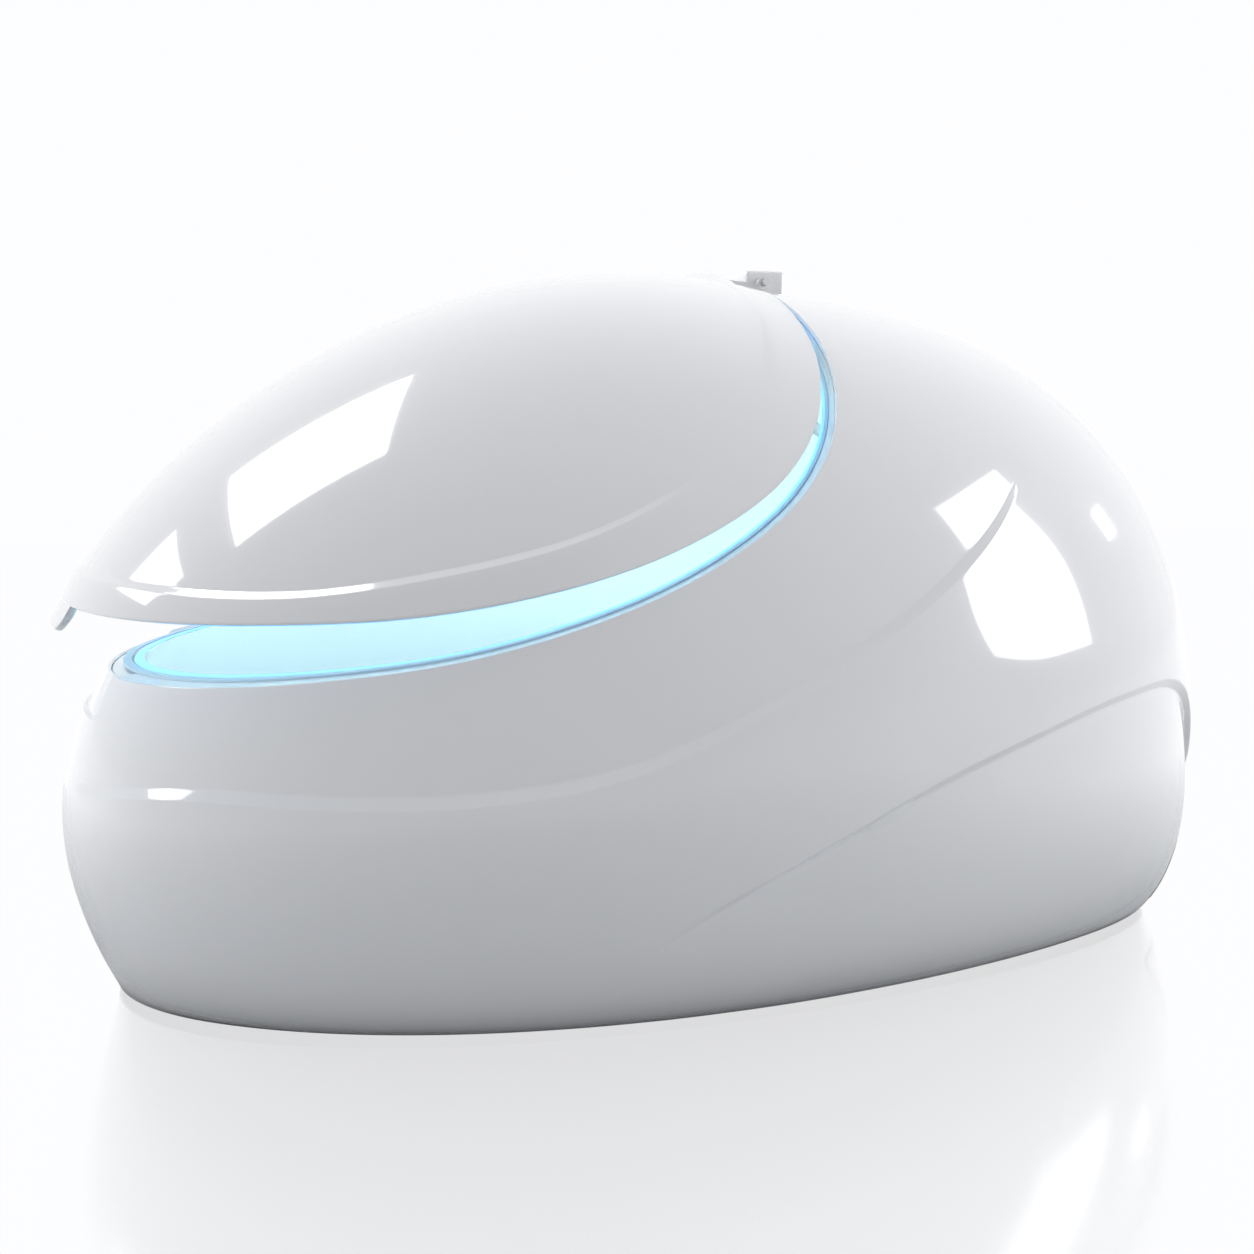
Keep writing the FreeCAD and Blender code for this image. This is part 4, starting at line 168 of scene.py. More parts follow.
@dataclass(frozen=True)
class EggSkin:
    """Egg-shaped skin: half-ellipse sections that grow and shrink over the height."""

    stations: tuple[tuple[float, float, float, float], ...]
    egg: float = -0.19
    step: float = 0.002

    def _weights(self, level: np.ndarray) -> np.ndarray:
        """Weights of the seven stations in the clamped cubic spline."""
        knots = np.array([0, 0, 0, 0, 0.25, 0.5, 0.75, 1, 1, 1, 1.0])
        level = np.clip(level, 0.0, 1.0 - 1e-12)[..., None]
        weights = ((level >= knots[:-1]) & (level < knots[1:])).astype(float)
        for degree in (1, 2, 3):
            low, high = knots[:-degree - 1], knots[degree + 1:]
            rise, fall = knots[degree:-1] - low, high - knots[1:-degree]
            up = np.where(rise > 0, (level - low) / np.where(rise > 0, rise, 1), 0.0)
            down = np.where(fall > 0, (high - level) / np.where(fall > 0, fall, 1), 0.0)
            weights = up * weights[..., :-1] + down * weights[..., 1:]
        return weights

    def point(self, angle: np.ndarray, level: np.ndarray) -> np.ndarray:
        """Point on the skin.

        Args:
            angle: angle round from the head end.
            level: share of the way from the foot to the crown.

        Returns:
            Its place, x, y and z in the last axis.
        """
        angle, level = np.broadcast_arrays(angle, level)
        height, front, rear, half = np.moveaxis(self._weights(level) @ np.array(self.stations), -1, 0)
        along = np.cos(angle)
        x = (rear - front) / 2 + (rear + front) / 2 * along
        return np.stack([x, half * np.sin(angle) * (1 + self.egg * along), height], -1)

    def upward(self, angle: np.ndarray, level: np.ndarray) -> np.ndarray:
        """Tangent of the meridian, pointing to the crown, per unit of level."""
        low, high = np.clip(level - self.step, 0, 1), np.clip(level + self.step, 0, 1)
        return (self.point(angle, high) - self.point(angle, low)) / (high - low)[..., None]

    def normal(self, angle: np.ndarray, level: np.ndarray) -> np.ndarray:
        """Outward normal of the skin, of length one."""
        angle, level = np.broadcast_arrays(angle, np.minimum(level, CROWN_SHARE))
        around = self.point(angle + self.step, level) - self.point(angle - self.step, level)
        return unit(np.cross(around, self.upward(angle, level)))

    def crossing(self, angle: np.ndarray, line: np.ndarray) -> np.ndarray:
        """Level at which each meridian crosses a line drawn in the side elevation.

        Args:
            angle: the meridians' angles.
            line: points (x, z) of the line.

        Returns:
            One level for each meridian.
        """
        start, run = line[:-1], np.diff(line, axis=0)
        low, high = np.zeros_like(angle), np.ones_like(angle)
        for _ in range(30):
            middle = (low + high) / 2
            place = self.point(angle, middle)[:, None, ::2] - start
            share = np.clip((place * run).sum(-1) / (run ** 2).sum(-1), 0, 1)
            gap = np.hypot(*np.moveaxis(place - share[..., None] * run, -1, 0))
            nearest = gap.argmin(1)
            picked = place[np.arange(len(angle)), nearest]
            side = run[nearest, 0] * picked[:, 1] - run[nearest, 1] * picked[:, 0] > 0
            low, high = np.where(side, low, middle), np.where(side, middle, high)
        return (low + high) / 2


def hull_stations() -> tuple[tuple[float, float, float, float], ...]:
    """Stations of the outer skin: height, front reach, rear reach and half width."""
    shares = ((0.000, 0.945, 0.967, 0.530), (0.054, 0.958, 0.985, 0.797), (0.192, 1.016, 1.007, 0.972),
              (0.423, 0.988, 0.992, 1.005), (0.773, 0.744, 0.887, 0.825), (1.000, 0.292, 0.470, 0.446),
              (1.000, 0.000, 0.000, 0.000))
    return tuple((CLEARANCE + height * HULL_HEIGHT, front * HALF_LENGTH, rear * HALF_LENGTH, half * HALF_WIDTH)
                 for height, front, rear, half in shares)


def cabin_stations() -> tuple[tuple[float, float, float, float], ...]:
    """Stations of the cabin's skin, set in from the hull's."""
    hull = hull_stations()
    floor = hull[2]
    rows = [(FLOOR_HEIGHT + rise, floor[1] - inset, floor[2] - inset, floor[3] - inset)
            for inset, rise in ((0.330, 0.0), (0.200, 0.0), (0.125, 0.050))]
    for station, drop, inset in ((hull[3], 0.0, 0.075), (hull[4], 0.025, 0.062), (hull[5], 0.062, 0.017)):
        rows.append((station[0] - drop, station[1] - inset, station[2] - inset, station[3] - inset))
    return tuple(rows + [(hull[6][0] - 0.062, 0.0, 0.0, 0.0)])


HULL, CABIN = EggSkin(hull_stations()), EggSkin(cabin_stations())


@dataclass(frozen=True)
class Recess:
    """Closing recess in the nose of the hull, where the lid's tongue drops in."""

    half_width: float = 0.312
    drop: float = 0.087
    depth_top: float = 0.015
    depth_low: float = 0.008
    radius: float = 0.038
    shoulder: float = 0.0045

    def depth(self, across: np.ndarray, below: np.ndarray) -> np.ndarray:
        """How far the hull is set in.

        Args:
            across: distance from the middle of the nose, along the rim.
            below: distance below the rim.

        Returns:
            Depth of the recess there.
        """
        side, foot = self.half_width - np.abs(across), self.drop - below
        corner = self.radius - np.hypot(np.clip(self.radius - side, 0, None), np.clip(self.radius - foot, 0, None))
        inside = np.where((side < self.radius) & (foot < self.radius), corner, np.minimum(side, foot))
        fall = np.clip(below / self.drop, 0, 1)
        return smooth_step(inside / self.shoulder) * (self.depth_top + (self.depth_low - self.depth_top) * fall)


@dataclass
class Lines:
    """Meridians of the meshes, and the level of every styling line on each of them."""

    recess: Recess = field(default_factory=Recess)
    meridians: int = 416
    steep_angle: float = radians(84.0)
    crowding: float = 0.75
    ridge_band: float = 0.021
    groove_band: float = 0.018
    lid_band: float = 0.015
    angles: np.ndarray = field(init=False)

    def __post_init__(self) -> None:
        """Traces the lines on the near half and repeats them on the far half."""
        self.angles = self._spread()
        seam = side_line(RIM_LINE)
        self.rim = self.traced(HULL, seam)
        self.cabin_rim = self.traced(CABIN, seam)
        self.lid_edge = self.traced(HULL, shifted(seam, SEAM_GAP))
        self.liner_edge = self.traced(CABIN, shifted(seam, SEAM_GAP))
        self.ridge_top = self.traced(HULL, side_line(RIDGE_LINE))
        self.ridge_foot = self.stepped(HULL, self.ridge_top, -self.ridge_band)
        self.groove_top = self.traced(HULL, side_line(GROOVE_LINE))
        self.groove_foot = self.stepped(HULL, self.groove_top, -self.groove_band)
        self.lid_top = self.traced(HULL, side_line(LID_LINE))
        self.lid_foot = self.stepped(HULL, self.lid_top, -self.lid_band)
        self.recess_foot = self.stepped(HULL, self.rim, -self.recess.drop - self.recess.shoulder)
        rim = HULL.point(self.angles, self.rim)
        steps = np.linalg.norm(np.diff(rim, axis=0), axis=1)
        length = np.concatenate([[0.0], np.cumsum(steps)])
        self.across = length - length[len(self.angles) // 2]

    def _spread(self) -> np.ndarray:
        """Angles from 0 to a full turn, closer where the rim climbs the dome and at the recess' sides."""
        def even_to_angle(even: np.ndarray) -> np.ndarray:
            """Crowds evenly spaced angles around the steep part of the rim."""
            bend = np.sin(2 * (even - self.steep_angle)) + sin(2 * self.steep_angle)
            return even - bend * self.crowding / 2

        near = even_to_angle(np.linspace(0, pi, self.meridians // 2 + 1))
        fine = np.linspace(0, pi, 4001)
        rim = HULL.point(fine, HULL.crossing(fine, side_line(RIM_LINE)))
        length = np.concatenate([[0.0], np.cumsum(np.linalg.norm(np.diff(rim, axis=0), axis=1))])
        from_nose = length[-1] - length
        side = self.recess.half_width
        window = np.concatenate([np.linspace(side - 0.045, side - 0.006, 27),
                                 np.linspace(side - 0.005, side + 0.002, 8)])
        extra = np.interp(window, from_nose[::-1], fine[::-1])
        near = near[(near < extra.min() - 0.002) | (near > extra.max() + 0.002)]
        near = np.sort(np.concatenate([near, extra]))
        return np.concatenate([near, 2 * pi - near[-2:0:-1]])

    def traced(self, skin: EggSkin, line: np.ndarray) -> np.ndarray:
        """Levels of a side-view line on every meridian."""
        half = len(self.angles) // 2 + 1
        near = skin.crossing(self.angles[:half], line)
        return np.concatenate([near, near[-2:0:-1]])

    def stepped(self, skin: EggSkin, levels: np.ndarray, distance: float) -> np.ndarray:
        """Levels moved up their meridians by a distance."""
        return levels + distance / np.linalg.norm(skin.upward(self.angles, levels), axis=1)

    def along(self, levels: np.ndarray, line: np.ndarray) -> np.ndarray:
        """Straight distance between levels and a line on the hull."""
        return np.linalg.norm(HULL.point(self.angles, levels) - HULL.point(self.angles, line), axis=1)

    def fade(self, line: np.ndarray, start: float, length: float) -> np.ndarray:
        """Share of a relief that is left along a line, from its x place."""
        return smooth_step((HULL.point(self.angles, line)[:, 0] - start) / length)


# ================================================================ meshes
Rows = list[np.ndarray]


def strip(upper: np.ndarray, lower: np.ndarray, shares: np.ndarray) -> Rows:
    """Levels from one line to another at shares of the way."""
    return [upper + (lower - upper) * share for share in shares]


def lip(edge: np.ndarray, out: np.ndarray, up: np.ndarray, wall: float, radius: float, steps: int = 5) -> Rows:
    """Rounded free edge of a wall, from its outer face over the top to its inner face.

    Args:
        edge: points where the outer face would meet the flat top.
        out: outward normals of the wall.
        up: directions along the wall, out of its edge.
        wall: thickness of the wall.
        radius: radius of the rounded corners.
        steps: rows in each corner.

    Returns:
        Rows of points across the edge.
    """
    turns = np.linspace(0, pi / 2, steps + 1)
    outer = [edge - out * radius * (1 - cos(turn)) - up * radius * (1 - sin(turn)) for turn in turns]
    back = wall - radius
    inner = [edge - out * (back + radius * sin(turn)) - up * radius * (1 - cos(turn)) for turn in turns]
    return outer + inner


@dataclass
class Loft:
    """Surface through closed rows of points, outer side first, with its ends closed to a tip or to each other."""

    rows: Rows
    first_tip: Optional[np.ndarray] = None
    last_tip: Optional[np.ndarray] = None
    looped: bool = False

    def build(self, name: str, finish: "Finish") -> bpy.types.Object:
        """Makes the mesh object.

        Args:
            name: the piece's name.
            finish: its finish.

        Returns:
            The new object, smooth shaded.
        """
        count = len(self.rows[0])
        points = np.concatenate(self.rows)
        here = np.arange(count)
        beside = (here + 1) % count
        faces: list[Sequence[int]] = []
        pairs = [(i, i + 1) for i in range(len(self.rows) - 1)]
        if self.looped:
            pairs.append((len(self.rows) - 1, 0))
        for low, high in pairs:
            quads = np.stack([low * count + here, low * count + beside, high * count + beside, high * count + here], 1)
            faces += quads.tolist()
        if self.first_tip is not None:
            tip = len(points)
            points = np.concatenate([points, self.first_tip[None]])
            faces += [(tip, int(b), int(a)) for a, b in zip(here, beside)]
        if self.last_tip is not None:
            tip, base = len(points), (len(self.rows) - 1) * count
            points = np.concatenate([points, self.last_tip[None]])
            faces += [(base + int(a), base + int(b), tip) for a, b in zip(here, beside)]
        return new_piece(name, points, faces, finish)


def new_piece(name: str, points: np.ndarray, faces: Sequence[Sequence[int]], finish: "Finish") -> bpy.types.Object:
    """Makes a smooth-shaded mesh object with one finish."""
    mesh = bpy.data.meshes.new(name)
    mesh.from_pydata(np.asarray(points).tolist(), [], faces)
    mesh.update()
    mesh.polygons.foreach_set("use_smooth", [True] * len(mesh.polygons))
    piece = bpy.data.objects.new(name, mesh)
    bpy.context.scene.collection.objects.link(piece)
    piece.data.materials.append(finish.material())
    return piece


def settle(piece: bpy.types.Object, body: str, slot: str, *nodes: str) -> bpy.types.Object:
    """Rides a piece on its body and hides the nodes it stands for."""
    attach(piece, body)
    if nodes:
        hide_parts(*nodes)
    LOG.info("%s: %d faces, rides on %s", piece.name, len(piece.data.polygons), body)
    return piece


# ================================================================ finishes
Colour = tuple[float, float, float]


class Texture(Enum):
    """Kinds of fine structure that a finish can have."""

    PEEL = "orange peel of a sprayed or moulded gloss"
    GRAIN = "fine stipple of moulded plastic or powder coat"
    BRUSHED = "drawn lines of brushed metal"
    CAST = "coarse skin of a casting"
    PLEATED = "folds of filter cloth"


@dataclass(frozen=True)
class Finish:
    """Surface finish: colour with slow mottling, uneven gloss and a fine bump."""

    name: str
    colour: Colour
    roughness: float = 0.4
    metallic: float = 0.0
    coat: float = 0.0
    texture: Texture = Texture.GRAIN
    scale: float = 900.0
    bump: float = 0.05
    mottle: float = 0.04
    ior: float = 1.5
    glow: Optional[Colour] = None
    glow_strength: float = 0.0
    subsurface: float = 0.0

    def material(self) -> bpy.types.Material:
        """The finish as a node material, made once."""
        found = bpy.data.materials.get(self.name)
        if found:
            return found
        material = bpy.data.materials.new(self.name)
        material.use_nodes = True
        material.diffuse_color = (*self.colour, 1.0)
        nodes, links = material.node_tree.nodes, material.node_tree.links
        shader = nodes["Principled BSDF"]
        place = nodes.new("ShaderNodeTexCoord").outputs["Object"]
        slow = self._noise(nodes, links, place, 7.0, 3.0)
        dark = tuple(max(part * (1 - self.mottle), 0.0) for part in self.colour)
        mix = nodes.new("ShaderNodeMix")
        mix.data_type = "RGBA"
        links.new(slow, mix.inputs["Factor"])
        mix.inputs["A"].default_value = (*dark, 1.0)
        mix.inputs["B"].default_value = (*self.colour, 1.0)
        links.new(mix.outputs["Result"], shader.inputs["Base Color"])
        gloss = nodes.new("ShaderNodeMapRange")
        links.new(self._noise(nodes, links, place, 23.0, 4.0), gloss.inputs["Value"])
        gloss.inputs["To Min"].default_value = self.roughness * 0.8
        gloss.inputs["To Max"].default_value = self.roughness * 1.2
        links.new(gloss.outputs["Result"], shader.inputs["Roughness"])
        shader.inputs["Metallic"].default_value = self.metallic
        shader.inputs["IOR"].default_value = self.ior
        shader.inputs["Coat Weight"].default_value = self.coat
        shader.inputs["Coat Roughness"].default_value = 0.015
        shader.inputs["Subsurface Weight"].default_value = self.subsurface
        shader.inputs["Subsurface Scale"].default_value = 0.01
        if self.glow:
            shader.inputs["Emission Color"].default_value = (*self.glow, 1.0)
            shader.inputs["Emission Strength"].default_value = self.glow_strength
        if self.bump:
            relief = nodes.new("ShaderNodeBump")
            relief.inputs["Strength"].default_value = self.bump
            relief.inputs["Distance"].default_value = 0.0004
            links.new(self._height(nodes, links, place), relief.inputs["Height"])
            links.new(relief.outputs["Normal"], shader.inputs["Normal"])
        return material

    def _noise(self, nodes: Any, links: Any, place: Any, scale: float, detail: float) -> Any:
        """Noise texture at a scale, as a socket."""
        noise = nodes.new("ShaderNodeTexNoise")
        noise.inputs["Scale"].default_value = scale
        noise.inputs["Detail"].default_value = detail
        links.new(place, noise.inputs["Vector"])
        return noise.outputs["Fac"]

    def _height(self, nodes: Any, links: Any, place: Any) -> Any:
        """Height of the fine structure, as a socket."""
        if self.texture is Texture.PLEATED:
            wave = nodes.new("ShaderNodeTexWave")
            wave.inputs["Scale"].default_value = self.scale
            links.new(place, wave.inputs["Vector"])
            return wave.outputs["Fac"]
        if self.texture is Texture.BRUSHED:
            stretch = nodes.new("ShaderNodeMapping")
            stretch.inputs["Scale"].default_value = (1.0, 1.0, 0.02)
            links.new(place, stretch.inputs["Vector"])
            return self._noise(nodes, links, stretch.outputs["Vector"], self.scale, 2.0)
        if self.texture is Texture.CAST:
            cells = nodes.new("ShaderNodeTexVoronoi")
            cells.inputs["Scale"].default_value = self.scale
            links.new(place, cells.inputs["Vector"])
            return cells.outputs["Distance"]
        detail = 1.0 if self.texture is Texture.PEEL else 5.0
        return self._noise(nodes, links, place, self.scale, detail)


WHITE_GELCOAT = Finish("white_gelcoat", (0.800, 0.806, 0.822), 0.10, coat=1.0, texture=Texture.PEEL, scale=160.0,
                       bump=0.015, mottle=0.012)
CABIN_GELCOAT = Finish("cabin_gelcoat", (0.820, 0.850, 0.865), 0.22, coat=0.5, texture=Texture.PEEL, scale=220.0,
                       bump=0.03, mottle=0.02)
PLINTH_BLACK = Finish("plinth_black", (0.012, 0.012, 0.014), 0.55, scale=1400.0, bump=0.25, mottle=0.3)
DOOR_GASKET = Finish("door_gasket", (0.030, 0.031, 0.034), 0.60, scale=1100.0, bump=0.2, mottle=0.2)
FRAME_COAT = Finish("frame_powder_coat", (0.180, 0.190, 0.200), 0.45, scale=1600.0, bump=0.3, mottle=0.08)
BRUSHED_STEEL = Finish("brushed_steel", (0.560, 0.570, 0.580), 0.28, 1.0, texture=Texture.BRUSHED, scale=2600.0,
                       bump=0.12, mottle=0.05)
BRIGHT_STEEL = Finish("bright_steel", (0.700, 0.710, 0.720), 0.12, 1.0, texture=Texture.BRUSHED, scale=3000.0,
                      bump=0.05, mottle=0.03)
FOOT_RUBBER = Finish("foot_rubber", (0.020, 0.020, 0.021), 0.75, scale=900.0, bump=0.35, mottle=0.25)
# Rim seal: its pale blue is painted glow, standing in for the cabin's blue light falling on the seal.
SEAL_PAINTED_BLUE_GLOW = Finish("seal_silicone_painted_glow", (0.560, 0.740, 0.860), 0.40, scale=1100.0, bump=0.12, mottle=0.05)
LIGHT_STRIP = Finish("light_strip", (0.160, 0.420, 0.780), 0.35, scale=700.0, bump=0.08, mottle=0.03,
                     glow=(0.22, 0.58, 1.0), glow_strength=0.9)
LAMP_LENS = Finish("lamp_lens", (0.700, 0.900, 1.000), 0.25, scale=420.0, bump=0.25, mottle=0.03,
                   glow=(0.40, 0.80, 1.0), glow_strength=20.0)
PIPE_PVC = Finish("pipe_pvc", (0.320, 0.330, 0.345), 0.38, scale=1200.0, bump=0.08, mottle=0.06)
HOUSING_GREY = Finish("housing_grey", (0.480, 0.490, 0.500), 0.42, scale=1500.0, bump=0.2, mottle=0.06)
HOUSING_DARK = Finish("housing_dark", (0.045, 0.047, 0.052), 0.50, scale=1500.0, bump=0.25, mottle=0.15)
PUMP_CAST = Finish("pump_cast", (0.090, 0.100, 0.115), 0.50, texture=Texture.CAST, scale=420.0, bump=0.3, mottle=0.15)
BUSH_BRONZE = Finish("bush_bronze", (0.550, 0.360, 0.170), 0.32, 1.0, texture=Texture.BRUSHED, scale=2400.0,
                     bump=0.1, mottle=0.12)
FILTER_CLOTH = Finish("filter_cloth", (0.780, 0.800, 0.820), 0.85, texture=Texture.PLEATED, scale=60.0, bump=0.8,
                      mottle=0.08)
CALL_RED = Finish("call_red", (0.520, 0.025, 0.020), 0.28, coat=0.4, scale=900.0, bump=0.06, mottle=0.05)


# ================================================================ hull
@dataclass
class HullBody:
    """Outer body: one moulding with its raised swoosh, the groove below it and the closing recess."""

    lines: Lines
    ridge_relief: float = 0.011
    ridge_reach: float = 0.300
    ridge_fade_to: float = 0.478
    ridge_fade_length: float = 0.330
    ridge_nose_share: float = 0.35
    ridge_nose_length: float = 0.260
    groove_relief: float = 0.014
    groove_reach: float = 0.280
    groove_start: float = -0.245
    groove_fade_length: float = 0.420
    lip_radius: float = 0.0030

    def relief(self, levels: np.ndarray) -> np.ndarray:
        """How far the body stands out from the plain egg: proud under the swoosh, back under the groove.

        Args:
            levels: one level for each meridian.

        Returns:
            Distance outward on each meridian.
        """
        lines = self.lines
        below = np.sign(lines.ridge_top - levels) * lines.along(levels, lines.ridge_top)
        foot = np.minimum(levels, lines.ridge_foot)
        fall = 1 - smooth_step(lines.along(foot, lines.ridge_foot) / self.ridge_reach)
        tail = 1 - lines.fade(lines.ridge_top, self.ridge_fade_to * HALF_LENGTH - self.ridge_fade_length,
                              self.ridge_fade_length)
        nose = lines.fade(lines.ridge_top, -HALF_LENGTH, self.ridge_nose_length)
        strength = tail * (self.ridge_nose_share + (1 - self.ridge_nose_share) * nose)
        out = self.ridge_relief * strength * soft_ramp(below / lines.ridge_band) * fall
        below = np.sign(lines.groove_top - levels) * lines.along(levels, lines.groove_top)
        foot = np.minimum(levels, lines.groove_foot)
        fall = 1 - smooth_step(lines.along(foot, lines.groove_foot) / self.groove_reach)
        strength = lines.fade(lines.groove_top, self.groove_start * HALF_LENGTH, self.groove_fade_length)
        out -= self.groove_relief * strength * soft_ramp(below / lines.groove_band) * fall
        depth = lines.recess.depth(lines.across, lines.along(levels, lines.rim))
        return out - np.where(levels > lines.recess_foot, depth, 0.0)

    def face(self, levels: np.ndarray) -> np.ndarray:
        """Row of points on the outer face."""
        angles = self.lines.angles
        return HULL.point(angles, levels) + HULL.normal(angles, levels) * self.relief(levels)[:, None]

    def skin(self) -> bpy.types.Object:
        """The body moulding, from its foot up its outer face, over the rim and down its inner face."""
        lines = self.lines
        foot = np.zeros_like(lines.rim)
        levels = strip(foot, lines.groove_foot, graded(26))[:-1]
        levels += strip(lines.groove_foot, lines.groove_top, np.linspace(0, 1, 11))[:-1]
        levels += strip(lines.groove_top, lines.ridge_foot, graded(34))[:-1]
        levels += strip(lines.ridge_foot, lines.ridge_top, np.linspace(0, 1, 13))[:-1]
        levels += strip(lines.ridge_top, lines.recess_foot, graded(26))[:-1]
        near_rim = lines.stepped(HULL, lines.rim, -self.lip_radius)
        foot_zone = lines.stepped(HULL, lines.rim, -lines.recess.drop + lines.recess.radius)
        levels += strip(lines.recess_foot, foot_zone, np.linspace(0, 1, 29))[:-1]
        levels += strip(foot_zone, near_rim, np.linspace(0, 1, 9))[:-1]
        rows = [self.face(level) for level in levels]
        angles = lines.angles
        up = unit(HULL.upward(angles, lines.rim))
        out = HULL.normal(angles, lines.rim)
        rows += lip(self.face(lines.rim), out, up, HULL_WALL, self.lip_radius)
        for level in strip(near_rim, foot, np.linspace(0.02, 1, 14)):
            rows.append(self.face(level) - HULL.normal(angles, level) * HULL_WALL)
        rows[-1] = rows[-1] * [1, 1, 0] + [0, 0, rows[0][:, 2].min()]
        return settle(Loft(rows, looped=True).build("hull_skin", WHITE_GELCOAT), "tank", "gelcoat",
                      "body_shell", "latch_pocket")


@dataclass
class ServiceDoor:
    """Rear access panel: a thin curved plate on a dark gasket, seated in the tail of the hull."""

    hull: HullBody
    half_width: float = 0.210
    low: float = 0.070
    high: float = 0.232
    radius: float = 0.026
    proud: float = 0.0012
    gasket: float = 0.0022
    buried: float = 0.003
    face_rings: tuple[float, ...] = (0.004, 0.010, 0.020, 0.035, 0.050, 0.065)

    def _surface(self, across: np.ndarray, height: np.ndarray, out: float) -> np.ndarray:
        """Points of the hull's tail over (y, z), moved outward."""
        lines = self.hull.lines
        level = np.interp(height.ravel(), self._heights, self._levels)
        angle = np.zeros_like(level)
        for _ in range(12):
            y = HULL.point(angle, level)[:, 1]
            slope = (HULL.point(angle + 1e-4, level)[:, 1] - y) / 1e-4
            angle = angle + (across.ravel() - y) / slope
        places = HULL.point(angle, level) + HULL.normal(angle, level) * (out + self._relief(angle, level))[:, None]
        return places.reshape(*across.shape, 3)

    def _relief(self, angle: np.ndarray, level: np.ndarray) -> np.ndarray:
        """Relief of the hull at single points of the tail."""
        return np.array([np.interp(a % (2 * pi), self.hull.lines.angles, row)
                         for a, row in zip(angle, self._rows(level))])

    def _rows(self, level: np.ndarray) -> np.ndarray:
        """Relief along the meridians at each of the levels."""
        flat = np.ones_like(self.hull.lines.angles)
        return np.array([self.hull.relief(flat * one) for one in level])

    def _ring(self, inset: float, count: int = 14) -> tuple[np.ndarray, np.ndarray]:
        """Rounded rectangle in (y, z), set in by a distance."""
        half_y, half_z = self.half_width - inset, (self.high - self.low) / 2 - inset
        radius = max(self.radius - inset, 0.002)
        y, z = [], []
        for corner_y, corner_z, start in ((1, 1, 0), (-1, 1, 1), (-1, -1, 2), (1, -1, 3)):
            turn = (start + np.linspace(0, 1, count)) * pi / 2
            y.append(corner_y * (half_y - radius) + radius * np.cos(turn))
            z.append(corner_z * (half_z - radius) + radius * np.sin(turn))
        y, z = np.concatenate(y), np.concatenate(z)
        steps = np.hypot(np.diff(y, append=y[0]), np.diff(z, append=z[0]))
        at = np.concatenate([[0], np.cumsum(steps)])
        even = np.linspace(0, at[-1], 120, endpoint=False)
        y, z = np.interp(even, at, np.append(y, y[0])), np.interp(even, at, np.append(z, z[0]))
        return y, z + (self.high + self.low) / 2

    def build(self) -> None:
        """Makes the gasket ring and the door plate."""
        self._levels = np.linspace(0, 0.6, 1201)
        self._heights = HULL.point(np.zeros_like(self._levels), self._levels)[:, 2]
        gasket_rows = []
        for inset, out in ((0.0, -0.001), (0.0, 0.0003), (self.gasket, 0.0003), (self.gasket, -0.001)):
            gasket_rows.append(self._surface(*self._ring(inset), out))
        settle(Loft(gasket_rows, looped=True).build("door_gasket", DOOR_GASKET), "tank", "gelcoat")
        edge = self.gasket
        rows = [self._surface(*self._ring(inset), out) for inset, out in
                ((edge, -self.buried), (edge, 0.0), (edge + 0.0002, self.proud * 0.6), (edge + 0.0009, self.proud))]
        rows += [self._surface(*self._ring(inset), self.proud) for inset in self.face_rings]
        centre = np.zeros(1), np.full(1, (self.high + self.low) / 2)
        middle, back = self._surface(*centre, self.proud)[0], self._surface(*centre, -self.buried)[0]
        settle(Loft(rows, first_tip=back, last_tip=middle).build("service_door", WHITE_GELCOAT), "tank", "gelcoat",
               "service_panel")


# ================================================================ bathing tub
@dataclass
class BathTub:
    """Inner moulding: flange behind the rim, cabin walls, head dome and bathing floor."""

    lines: Lines
    lip_radius: float = 0.006

    def build(self) -> bpy.types.Object:
        """Makes the tub with its hidden back, its flange and its cabin side."""
        lines, angles = self.lines, self.lines.angles
        shift = lines.recess.depth(lines.across, np.zeros_like(lines.rim))
        out, up = HULL.normal(angles, lines.rim), unit(HULL.upward(angles, lines.rim))
        outer = HULL.point(angles, lines.rim) - out * (HULL_WALL + EDGE_GAP + shift)[:, None]
        inner = CABIN.point(angles, lines.cabin_rim)
        across = unit(outer - inner)
        wall_up = unit(CABIN.upward(angles, lines.cabin_rim))
        foot = np.zeros_like(lines.rim)
        back = [CABIN.point(angles, level) + CABIN.normal(angles, level) * TUB_WALL
                for level in strip(foot, lines.cabin_rim, graded(22))[:-1]]
        back[0] = CABIN.point(angles, foot) - [0, 0, TUB_WALL]
        back[-1] = inner + across * TUB_WALL - up * TUB_WALL * 1.5
        rows = [self._shrunk(back[0], share) for share in np.linspace(0.12, 0.95, 8)] + back
        rows += [outer - up * TUB_WALL, outer - up * 0.001, outer - across * 0.001]
        for share in np.linspace(0.05, 1, 9):
            rows.append(outer - across * 0.001 + (inner + across * self.lip_radius - outer) * share)
        for turn in np.linspace(0, 1, 8)[1:]:
            start, end = inner + across * self.lip_radius, inner - wall_up * self.lip_radius
            rows.append((1 - turn) ** 2 * start + 2 * turn * (1 - turn) * inner + turn ** 2 * end)
        first = lines.stepped(CABIN, lines.cabin_rim, -self.lip_radius)
        rows += [CABIN.point(angles, level) for level in strip(first, foot, graded(60))[1:]]
        rows += [self._shrunk(rows[-1], share) for share in np.linspace(0.95, 0.06, 12)]
        middle = rows[-1].mean(0)
        tub = Loft(rows, first_tip=middle - [0, 0, TUB_WALL], last_tip=middle).build("tub_moulding", CABIN_GELCOAT)
        return settle(tub, "tank", "liner", "inner_tub")

    @staticmethod
    def _shrunk(ring: np.ndarray, share: float) -> np.ndarray:
        """Ring drawn in towards its middle."""
        middle = ring.mean(0)
        return middle + (ring - middle) * share


